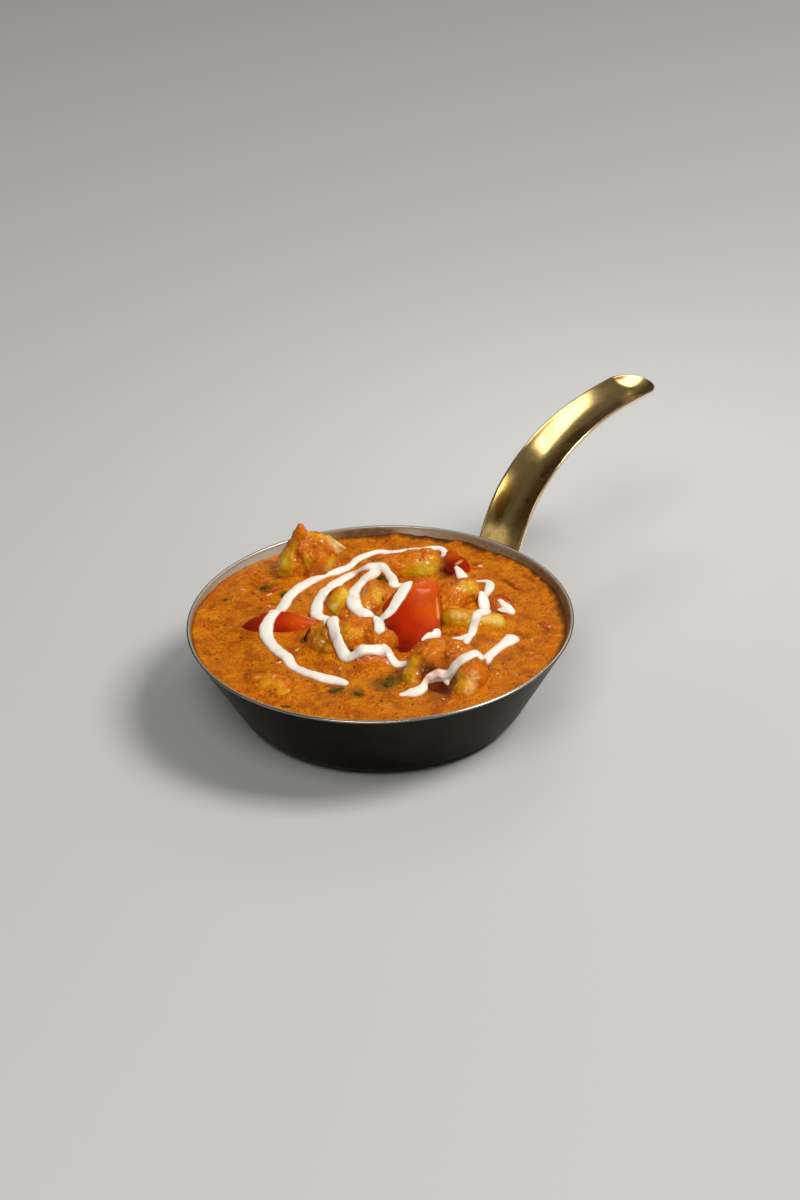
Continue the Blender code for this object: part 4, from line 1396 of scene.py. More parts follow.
@dataclass(frozen=True)
class Pepper:
    """One piece of red pepper, skin up."""

    node: str
    middle: Stop
    turn: float
    slope: float
    tilt: float
    bend: tuple[float, float]
    sheet: float
    corners: tuple[tuple[float, float], ...]
    # Spots of painted shade and painted light, spots of sauce film, dents, and streaks of painted highlight.
    shade: tuple[Spot, ...] = ()
    painted_light: tuple[Spot, ...] = ()
    film: tuple[Spot, ...] = ()
    dents: tuple[Spot, ...] = ()
    pale: tuple[Patch, ...] = ()
    dent_share: float = 0.22
    softness: float = 0.4
    edge: float = 0.9
    skin_rings: int = 48
    waves: Layers = ((9.0, 0.28), (3.0, 0.05))
    outline_points: int = 180

    def outline(self) -> np.ndarray:
        """The soft outline through the corners.

        Returns:
            Its points as rows of u and v.
        """
        corners = np.array(self.corners)
        size = len(corners)
        place = size * np.arange(self.outline_points) / self.outline_points
        k = place.astype(int)
        t = (place - k)[:, None]
        curve = curve_between(corners, np.array([k - 1, k, k + 1, k + 2]) % size, t)
        start, end = corners[k], corners[(k + 1) % size]
        line = curve * self.softness + (start + (end - start) * t) * (1.0 - self.softness)
        for _ in range(3):
            line = (np.roll(line, 1, axis=0) + 2.0 * line + np.roll(line, -1, axis=0)) / 4.0
        return line

    def place(self, uv: np.ndarray, down: float) -> np.ndarray:
        """Puts points of the flat outline on the bent, leaning piece.

        Args:
            uv: Rows of u and v across and along the piece.
            down: Depth under its skin in millimetres.

        Returns:
            Rows of x, y and z.
        """
        bend_v, bend_u = self.bend
        u, v = uv.T
        w = -u * u / (2 * bend_u) - v * v / (2 * bend_v) - down
        turn, slope, tilt = (math.radians(angle) for angle in (self.turn, self.slope, self.tilt))
        u, w = u * math.cos(tilt) + w * math.sin(tilt), w * math.cos(tilt) - u * math.sin(tilt)
        v, w = v * math.cos(slope) - w * math.sin(slope), v * math.sin(slope) + w * math.cos(slope)
        x, y = u * math.cos(turn) - v * math.sin(turn), u * math.sin(turn) + v * math.cos(turn)
        return np.column_stack([x, y, w]) + np.array(self.middle)

    def levels(self) -> list[Spot]:
        """The piece's rings, from the middle of its skin round the edge to its underside.

        Returns:
            Each ring's share of the outline, inset, depth under the skin and share of cut flesh.
        """
        turn = np.linspace(0.0, math.pi / 2, 6)
        sheet, edge = self.sheet, self.edge
        made = [(share, 0.0, 0.0, 0.0) for share in np.linspace(0.02, 0.96, self.skin_rings)]
        made += [(1.0, edge * (1.0 - math.sin(a)), edge * (1.0 - math.cos(a)), 0.25) for a in turn]
        made += [(1.0, 0.0, edge + (sheet - 2 * edge) * i / 6, 1.0) for i in range(1, 6)]
        made += [(1.0, edge * (1.0 - math.cos(a)), sheet - edge * (1.0 - math.sin(a)), 1.0) for a in turn]
        return made + [(share, 0.0, sheet, 1.0) for share in np.linspace(0.9, 0.04, 10)]

    def build(self, finish: bpy.types.Material, grain: Lumps) -> Shape:
        """Makes the piece: a crowned skin, a rounded cut edge and a rough underside.

        Args:
            finish: The peppers' material.
            grain: Noise for the skin's waves.

        Returns:
            The piece's shape, for what lies on it.
        """
        outline = self.outline()
        reach = np.linalg.norm(outline, axis=1, keepdims=True)
        rings, cut = [], []
        for share, inset, down, raw in self.levels():
            ring = self.place(outline * share * (1.0 - np.minimum(inset / reach, 0.8)), down)
            ring[:, 2] += grain.layered(ring, self.waves) * (0.6 + 0.4 * raw)
            for *dent, span in self.dents:
                away = np.linalg.norm(ring - np.array(dent), axis=1) / span
                ring[:, 2] -= self.dent_share * span * np.exp(-(away**2))
            rings.append(ring)
            cut.append(np.full(len(ring), raw))
        points, faces = skin(np.array(rings))
        attributes = {"cut": np.append(np.concatenate(cut), [0.0, 1.0])}
        # Spots of painted shade and painted light, and of the sauce film.
        for name, spots in (("shade", self.shade), ("painted_light", self.painted_light), ("film", self.film)):
            attributes[name] = soft_spots(points, spots)
        # Painted highlight lines along the edges.
        attributes["pale"] = streaked(points, self.pale)
        piece(self.node + "_dressed", (points, faces), finish, [self.node], attributes)
        return points, faces


@dataclass
class Gravy:
    """The gravy's fine surface over the pan's filling."""

    pan: Pan
    level: float = 35.7
    crown: float = 0.9
    rings: int = 160
    waves: tuple[Spot, ...] = ((0.30, 0.21, 0.07, 0.4), (0.26, -0.09, 0.24, 1.9), (0.20, 0.33, -0.19, 3.1))
    ripple_centre: tuple[float, float] = (-50.5, 41.0)
    ripple_reach: float = 15.0
    ripple_height: float = 0.9
    ripple_pitch: float = 4.8
    coarse: Layers = ((8.0, 0.26), (3.6, 0.18))
    fine: Layers = ((1.7, 0.12), (0.9, 0.09))
    blots: Layers = ((3.0, 0.35), (1.3, 0.25))
    clumps: Layers = ((5.0, 0.6), (2.2, 0.45))
    shore: Layers = ((11.0, 0.55), (4.6, 0.35))
    pits: tuple[Spot, ...] = ((21.6, -47.6, 5.4, 2.6), (24.5, -52.0, 3.6, 1.2), (29.5, 42.0, 4.0, 1.2))
    cling: float = 1.4
    cling_reach: float = 3.6
    rim_rise: float = 0.35
    rim_run: float = 1.8
    dried: Flank = Flank(42.0, 1.7, 0.35)
    dried_rise: tuple[float, float] = (0.6, 1.2)
    climbed: Flank = Flank(184.0, 2.2, 1.2)
    climb_rise: tuple[float, float] = (2.2, 0.5)
    climb_run: float = 5.0
    overlap: float = 0.05
    fit_run: float = 1.5
    crust_width: tuple[float, float] = (0.4, 2.4)
    under_top: float = 34.0
    under_gap: float = 0.2
    # Dark red patches: two ends, a reach and a strength. Some are sauce streaks; others are painted shade in
    # a prawn's curl, under an arm, in front of a pepper and beside a prawn.
    maroon_and_shade: tuple[Patch, ...] = (
        ((20.0, -46.0, 34.5), (24.5, -50.0, 34.5), 5.6, 1.0),
        ((24.5, -53.0, 35.0), (25.0, -54.0, 35.0), 4.0, 0.9),
        ((28.5, 42.5, 36.0), (30.5, 40.0, 36.0), 4.6, 1.0),
        ((13.0, 61.0, 36.5), (29.0, 59.0, 36.5), 1.6, 0.6),
        ((53.0, 33.5, 36.5), (58.5, 26.0, 36.5), 1.5, 0.8),
        ((61.5, 38.0, 36.5), (66.5, 30.5, 36.5), 1.2, 0.7),
        ((43.0, -36.0, 36.5), (42.0, -39.5, 36.5), 3.0, 0.5),
        ((46.0, -30.0, 36.5), (50.0, -30.0, 36.5), 2.6, 0.35),
        ((20.0, -54.5, 36.0), (23.4, -57.6, 36.0), 3.0, 0.6),
        ((-53.5, -32.0, 36.0), (-51.0, -37.0, 36.0), 3.0, 0.35),
        ((24.0, -9.5, 37.0), (31.0, -10.5, 37.0), 2.0, 0.5),
        ((66.0, -4.0, 36.5), (69.0, -9.0, 36.5), 2.0, 0.5),
        ((43.0, 46.0, 36.5), (41.0, 49.0, 36.5), 2.0, 0.5))
    herbs: tuple[Spot, ...] = (
        (2.4, -45.8, 36.5, 7.5), (-18.0, -49.4, 36.5, 4.0), (-9.2, -53.4, 36.5, 3.4),
        (-29.6, -12.2, 36.5, 3.6), (-40.4, 27.0, 36.5, 3.0), (6.0, -40.5, 36.5, 5.0),
        (0.5, 36.2, 36.5, 3.0), (-47.5, 33.5, 36.5, 3.0))

    def still_height(self, x: np.ndarray, y: np.ndarray) -> np.ndarray:
        """Height before fine relief: level, crown, slow waves and the ripples at the back left.

        Args:
            x: Places in millimetres.
            y: Places in millimetres.

        Returns:
            One height for each place.
        """
        share = np.minimum(np.hypot(x, y) / self.pan.wall_radius(self.level, self.pan.sheet), 1.0)
        height = self.level + self.crown * (1.0 - share**2)
        calm = 1.0 - share**6
        for size, along, across, phase in self.waves:
            height += calm * size * np.sin(along * x + across * y + phase)
        fade = np.clip(1.0 - self.ripple_away(x, y) ** 2, 0.0, 1.0) ** 2
        fade *= np.clip((1.0 - share) * 8.0, 0.0, 1.0)
        crease = np.sin(2.0 * math.pi * (y + 0.3 * x + 1.5 * np.sin(0.35 * x)) / self.ripple_pitch)
        return height + self.ripple_height * fade * crease

    def ripple_away(self, x: np.ndarray, y: np.ndarray) -> np.ndarray:
        """Distance from the middle of the ripples, where 1 is their reach."""
        return np.hypot(x - self.ripple_centre[0], y - self.ripple_centre[1]) / self.ripple_reach

    def net(self) -> Shape:
        """An even net of triangles over a disc of radius 1.

        Returns:
            Its places, as rows of x and y, and its faces.
        """
        places = [np.zeros((1, 2))]
        faces = []
        start, inner = 1, 0
        for ring in range(1, self.rings + 1):
            around = np.arange(6 * ring)
            angle = 2.0 * math.pi * around / (6 * ring)
            places.append(ring / self.rings * np.column_stack([np.cos(angle), np.sin(angle)]))
            sector, i = np.divmod(around, ring)
            a = start + around
            b = start + (around + 1) % (6 * ring)
            inner_size = max(6 * (ring - 1), 1)
            c = inner + (sector * (ring - 1) + i) % inner_size
            faces.append(np.column_stack([a, b, c]))
            more = i < ring - 1
            d = inner + (sector * (ring - 1) + i + 1) % inner_size
            faces.append(np.column_stack([c[more], b[more], d[more]]))
            inner, start = start, start + 6 * ring
        return np.vstack(places), np.vstack(faces)

    def build(self, toppings: Sequence[Shape], grain: Lumps) -> Shape:
        """Makes the gravy.

        Args:
            toppings: The pieces that stand in it, to which it clings.
            grain: Noise for its lumps.

        Returns:
            The upper side's shape, for what lies on it.
        """
        places, faces = self.net()
        reach = self.pan.wall_radius(self.level, self.pan.sheet)
        x, y = (places * reach).T
        away = reach - np.hypot(x, y)
        azimuth = np.arctan2(y, x)
        height = self.still_height(x, y)
        flat = np.column_stack([x, y, np.zeros(len(x))])
        relief = grain.layered(flat, self.coarse) + grain.layered(flat, self.fine)
        height += relief
        ground = Ground(toppings)
        near = np.array([ground.distance(p, self.cling_reach) for p in zip(x, y, height)])
        height += self.cling * (1.0 - near / self.cling_reach) ** 2.5
        for pit_x, pit_y, span, depth in self.pits:
            height -= depth * np.exp(-((np.hypot(x - pit_x, y - pit_y) / span) ** 2) * 1.6)
        edge = np.column_stack([reach * np.cos(azimuth), reach * np.sin(azimuth), np.zeros(len(x))])
        ragged = grain.layered(edge, self.shore)
        dried, climbed = self.dried.share(azimuth), self.climbed.share(azimuth)
        least, swing = self.dried_rise
        height += (self.rim_rise + (least + swing * ragged) * dried) * np.exp(-away / self.rim_run)
        least, swing = self.climb_rise
        height += (least + swing * ragged) * climbed * np.exp(-away / self.climb_run)
        grow = (height - self.level) * math.tan(self.pan.lean) + self.overlap
        scale = 1.0 + grow * np.maximum(1.0 - away / self.fit_run, 0.0) / reach
        points = np.column_stack([x * scale, y * scale, height])
        thin, wide = self.crust_width
        width = thin + wide * dried * np.clip(0.6 + grain.layered(flat, self.clumps), 0.0, 1.3)
        blots = grain.layered(flat, self.blots)
        painted = {
            "crust": faded(away / width) * (0.25 + 0.75 * dried),
            # Dark red patches, partly painted shade.
            "maroon_and_shade": streaked(points, self.maroon_and_shade, blots),
            "herb": np.clip(soft_spots(points, self.herbs) * 1.5 + blots - 0.2, 0.0, 0.85),
            # Painted shade in the relief's hollows.
            "hollow_shade": np.clip(-relief * 1.6 - 0.05, 0.0, 1.0),
            "wet": np.clip(1.2 - self.ripple_away(x, y), 0.0, 1.0),
        }
        full, attributes = self.closed((points, faces), painted)
        piece("gravy", full, GravyFinish().made(), ["curry"], attributes)
        return points, faces

    def closed(self, top: Shape, attributes: dict[str, np.ndarray]) -> tuple[Shape, dict[str, np.ndarray]]:
        """Adds the hidden side and underside, which follow the pan's inside.

        Args:
            top: The upper side.
            attributes: Its values for each point.

        Returns:
            The closed shape and its values, which are 0 on the hidden points.
        """
        points, faces = top
        around = 6 * self.rings
        edge = np.arange(len(points) - around, len(points))
        spread = points[edge, :2] / np.linalg.norm(points[edge, :2], axis=1, keepdims=True)
        rows, sides = [points], [faces]
        above = edge
        bottom = self.pan.sheet + self.under_gap
        for radius, height in self.pan.profile(bottom, self.under_top, 4, 12)[8:-1:2][::-1]:
            ring = sum(len(row) for row in rows) + np.arange(around)
            rows.append(np.column_stack([spread * radius, np.full(around, height)]))
            after, below = np.roll(above, -1), np.roll(ring, -1)
            sides += [np.column_stack([above, ring, after]), np.column_stack([after, ring, below])]
            above = ring
        middle = sum(len(row) for row in rows)
        rows.append(np.array([[0.0, 0.0, bottom]]))
        sides.append(np.column_stack([above, np.full(around, middle), np.roll(above, -1)]))
        hidden = np.zeros(middle + 1 - len(points))
        wide = {name: np.append(values, hidden) for name, values in attributes.items()}
        return (np.vstack(rows), np.vstack(sides)), wide


@dataclass
class Cream:
    """Lines of cream poured over everything."""

    lines: tuple[tuple[Stop, ...], ...]
    blush: tuple[Spot, ...] = ((21.0, -42.5, 40.0, 4.0), (17.6, -46.0, 38.5, 3.0))
    widen: float = 1.06
    spacing: float = 0.5
    across: int = 13
    depth: float = 0.5
    hang: float = 2.5
    rise: float = 0.52
    steepest: float = 1.4
    voxel: float = 0.33
    smoothing: int = 4
    swell: Layers = ((5.0, 0.15), (2.4, 0.1))
    drift: Layers = ((7.0, 0.45), (3.5, 0.16))
    drift_shift: float = 50.0
    relief: Layers = ((2.6, 0.08), (1.2, 0.04))
    thin: float = 0.4

    def ribbon(self, stops: tuple[Stop, ...], ground: Ground, grain: Lumps) -> Shape:
        """One line as a closed, rounded ribbon that lies on the ground and leans with it.

        Args:
            stops: (x, y, half width) along the line.
            ground: What it is poured on.
            grain: Noise for its uneven edges.

        Returns:
            The ribbon's shape.
        """
        path = np.array(stops)
        length = np.linalg.norm(np.diff(path[:, :2], axis=0), axis=1).sum()
        line = smooth_run(stops, max(int(length / self.spacing), 6))
        ahead = np.gradient(line[:, :2], axis=0)
        ahead /= np.linalg.norm(ahead, axis=1, keepdims=True)
        side = np.column_stack([-ahead[:, 1], ahead[:, 0]])
        run = np.column_stack([line[:, :2], np.zeros(len(line))])
        half = self.widen * line[:, 2] * (1.0 + grain.layered(run, self.swell))
        along = np.linspace(0.0, length, len(line))
        for gone in (along, length - along):
            start = 1.0 - np.minimum(gone / (0.9 * half + 0.3), 1.0)
            half *= np.sqrt(np.clip(1.0 - start**2, 0.02, 1.0))
        drift = grain.layered(run + self.drift_shift, self.drift)
        centre = line[:, :2] + side * drift[:, None]
        reach = side * (0.7 * half)[:, None]
        offsets = (0.0 * reach, reach, -reach)
        middle, left, right = (self.eased(ground.heights(centre + offset)) for offset in offsets)
        level = np.maximum(middle, (left + right) / 2.0)
        lean = softened(np.clip(np.arctan2(left - right, 1.4 * half), -0.8, 0.8), 8)[:, None]
        q = np.linspace(-1.0, 1.0, self.across)[None, :]
        thick = (self.rise * half)[:, None] * np.sqrt(1.0 - (q * 0.999) ** 2) ** 0.75
        sideways = half[:, None] * q * np.cos(lean) - thick * np.sin(lean)
        upward = half[:, None] * q * np.sin(lean) + thick * np.cos(lean) + level[:, None]
        upper = np.dstack([centre[:, None, :] + side[:, None, :] * sideways[:, :, None], upward])
        inner = q[:, self.across - 2:0:-2]
        places = centre[:, None, :] + side[:, None, :] * (half[:, None] * inner * np.cos(lean))[:, :, None]
        base = ground.heights(places.reshape(-1, 2)).reshape(places.shape[:2]) - self.depth
        floor = level[:, None] + half[:, None] * inner * np.sin(lean)
        lower = np.dstack([places, np.clip(base, floor - self.hang, floor - 0.1)])
        return skin(np.concatenate([upper, lower], axis=1))

    def eased(self, level: np.ndarray) -> np.ndarray:
        """Heights along a line as thick cream takes them, with no step steeper than it stands.

        Args:
            level: Heights of what it lies on.

        Returns:
            The cream's heights.
        """
        step = self.steepest * self.spacing
        for order in (slice(None), slice(None, None, -1)):
            run = level[order]
            for i in range(1, len(run)):
                run[i] = max(run[i], run[i - 1] - step)
        return softened(level, 6)

    def build(self, ground: Ground, grain: Lumps) -> None:
        """Pours every line and fuses them where they run into each other.

        Args:
            ground: What the cream lies on.
            grain: Noise for its uneven edges.
        """
        ribbons = [self.ribbon(stops, ground, grain) for stops in self.lines]
        points, faces, normals = fused(ribbons, self.voxel, self.smoothing)
        points = points + normals * grain.layered(points, self.relief)[:, None]
        over = points[:, 2] - ground.heights(points[:, :2])
        attributes = {"thin": 1.0 - over / self.thin, "blush": soft_spots(points, self.blush) * 0.8}
        piece("cream", (points, faces), CreamFinish().made(), (), attributes)


@dataclass(frozen=True)
class Bits:
    """One kind of small bit: the flakes that can be told apart, and more strewn among them."""

    name: str
    finish: BitFinish
    thick: float = 0.0
    lift: float = 0.0
    sides: int = 0
    strewn: int = 0
    smallest: float = 0.0
    largest: float = 0.0
    seed: int = 0
    placed: tuple[Flake, ...] = ()


@dataclass
class Garnish:
    """Lays small bits on the gravy."""

    ground: Ground
    clean: Ground
    clear_height: float = 37.0
    reach: float = 75.0
    small_shape: tuple[float, float, int] = (0.22, 0.08, 6)

    def flake(self, x: float, y: float, length: float, width: float, turn: float, thick: float, lift: float,
              sides: int) -> Shape:
        """A thin bent flake that follows what it lies on.

        Args:
            x: Place of its middle.
            y: Place of its middle.
            length: Half its length.
            width: Half its width.
            turn: Direction of its length in degrees.
            thick: Half its thickness.
            lift: Height of its middle over the ground.
            sides: Points round its outline.

        Returns:
            The flake's shape.
        """
        angle = circle(sides)
        c, s = math.cos(math.radians(turn)), math.sin(math.radians(turn))
        normal = self.ground.lean(x, y)
        base = self.ground.height(x, y) + lift
        ragged = 1.0 + 0.14 * np.sin(3.0 * angle + x) + 0.08 * np.sin(5.0 * angle + y)
        rings = []
        for share, rise in ((0.25, -1.0), (0.8, -0.9), (1.0, 0.0), (0.8, 0.9), (0.25, 1.0)):
            u = share * length * np.cos(angle) * ragged
            v = share * width * np.sin(angle) * ragged
            px, py = x + u * c - v * s, y + u * s + v * c
            slope = -((px - x) * normal.x + (py - y) * normal.y) / max(normal.z, 0.4)
            curl = 0.05 * u * u / max(length, 0.5)
            rings.append(np.column_stack([px, py, base + slope + curl + thick * rise]))
        return skin(np.array(rings))

    def scattered(self, bits: Bits) -> list[Shape]:
        """Small flakes strewn evenly at random, clear of the prawns and peppers.

        Args:
            bits: The kind of bit, with its number, sizes and seed.

        Returns:
            The flakes' shapes.
        """
        draw = np.random.default_rng(bits.seed)
        thick, lift, sides = self.small_shape
        made = []
        for _ in range(bits.strewn):
            r, a = self.reach * math.sqrt(draw.random()), 2.0 * math.pi * draw.random()
            length = bits.smallest + (bits.largest - bits.smallest) * draw.random() ** 2.5
            width = length * (0.35 + 0.5 * draw.random())
            turn = 360.0 * draw.random()
            x, y = r * math.cos(a), r * math.sin(a)
            if self.clean.height(x, y, 0.0) > self.clear_height:
                continue
            made.append(self.flake(x, y, length, width, turn, length * thick, length * lift, sides))
        return made

    def build(self, bits: Bits) -> None:
        """Lays one kind of bit as one piece.

        Args:
            bits: The kind.
        """
        flakes = [self.flake(*place, bits.thick, bits.lift, bits.sides) for place in bits.placed]
        piece(bits.name, joined(flakes + self.scattered(bits)), bits.finish.made())


GARNISH = (
    Bits(
        "herb_leaves",
        BitFinish("wilted_herb", srgb(46, 40, 2), srgb(90, 74, 4), 1.5, 0.6, 0.0, sheen=(0.8, 0.6, 0.2)),
        thick=0.22, sides=22, strewn=70, smallest=0.3, largest=1.0, seed=11,
        placed=(
            (2.8, -46.4, 2.6, 2.2, 60.0), (-29.6, -12.2, 2.4, 1.4, 70.0), (-18.0, -49.4, 3.0, 1.6, 10.0),
            (-40.4, 27.0, 1.9, 1.3, 50.0), (-48.4, 33.8, 2.0, 1.5, 0.0), (3.6, -42.0, 2.6, 1.5, 100.0),
            (-9.2, -53.4, 2.2, 1.3, 150.0), (-37.0, -60.4, 2.4, 1.0, 170.0), (-20.4, 16.6, 0.9, 0.5, 30.0),
            (1.4, 14.0, 0.9, 0.6, 90.0), (0.5, 36.2, 2.0, 1.0, 20.0), (-20.6, 19.8, 0.7, 0.4, 60.0),
            (-65.0, 24.0, 1.3, 0.7, 70.0)),
    ),
    Bits(
        "pepper_scraps",
        BitFinish("pepper_scrap", srgb(180, 40, 2), srgb(206, 88, 14), pitch=2.0, roughness=0.3),
        thick=0.45, lift=0.1, sides=18, strewn=90, smallest=0.25, largest=0.8, seed=12,
        placed=(
            (-44.2, 31.0, 3.2, 1.2, 50.0), (57.3, 27.1, 2.6, 0.6, 130.0), (-40.2, -27.0, 1.6, 0.8, 160.0),
            (67.6, -5.6, 1.6, 0.9, 80.0), (41.2, 45.4, 1.8, 0.9, 40.0), (-49.0, 24.0, 1.4, 0.7, 20.0)),
    ),
    Bits(
        "onion_bits",
        BitFinish("onion_bit", srgb(208, 122, 60), srgb(228, 172, 116), pitch=1.2, roughness=0.25, coat=0.4),
        thick=0.4, lift=0.05, sides=16,
        placed=(
            (-57.9, 32.0, 1.2, 0.6, 20.0), (-41.1, -28.6, 1.5, 0.7, 30.0), (-34.0, -19.0, 1.3, 0.6, 60.0),
            (-46.6, 18.4, 1.0, 0.6, 0.0), (-16.4, -34.9, 0.8, 0.6, 0.0), (-46.8, 27.4, 1.6, 0.7, 30.0),
            (46.1, -41.9, 0.8, 0.6, 0.0), (61.2, -16.0, 0.9, 0.7, 0.0), (43.3, 46.6, 1.9, 1.2, 50.0),
            (69.0, -6.2, 0.8, 0.5, 0.0), (64.6, -5.6, 0.7, 0.4, 90.0), (-52.0, 30.0, 0.7, 0.4, 0.0),
            (24.0, -58.6, 0.8, 0.5, 0.0), (29.6, -13.0, 1.0, 0.5, 20.0), (31.5, 24.0, 0.8, 0.4, 80.0)),
    ),
    Bits(
        "spice_specks",
        BitFinish("spice_speck", srgb(62, 30, 2), srgb(120, 58, 4), pitch=3.0, roughness=0.5, coat=0.0),
        strewn=1500, smallest=0.16, largest=0.6, seed=13,
    ),
)

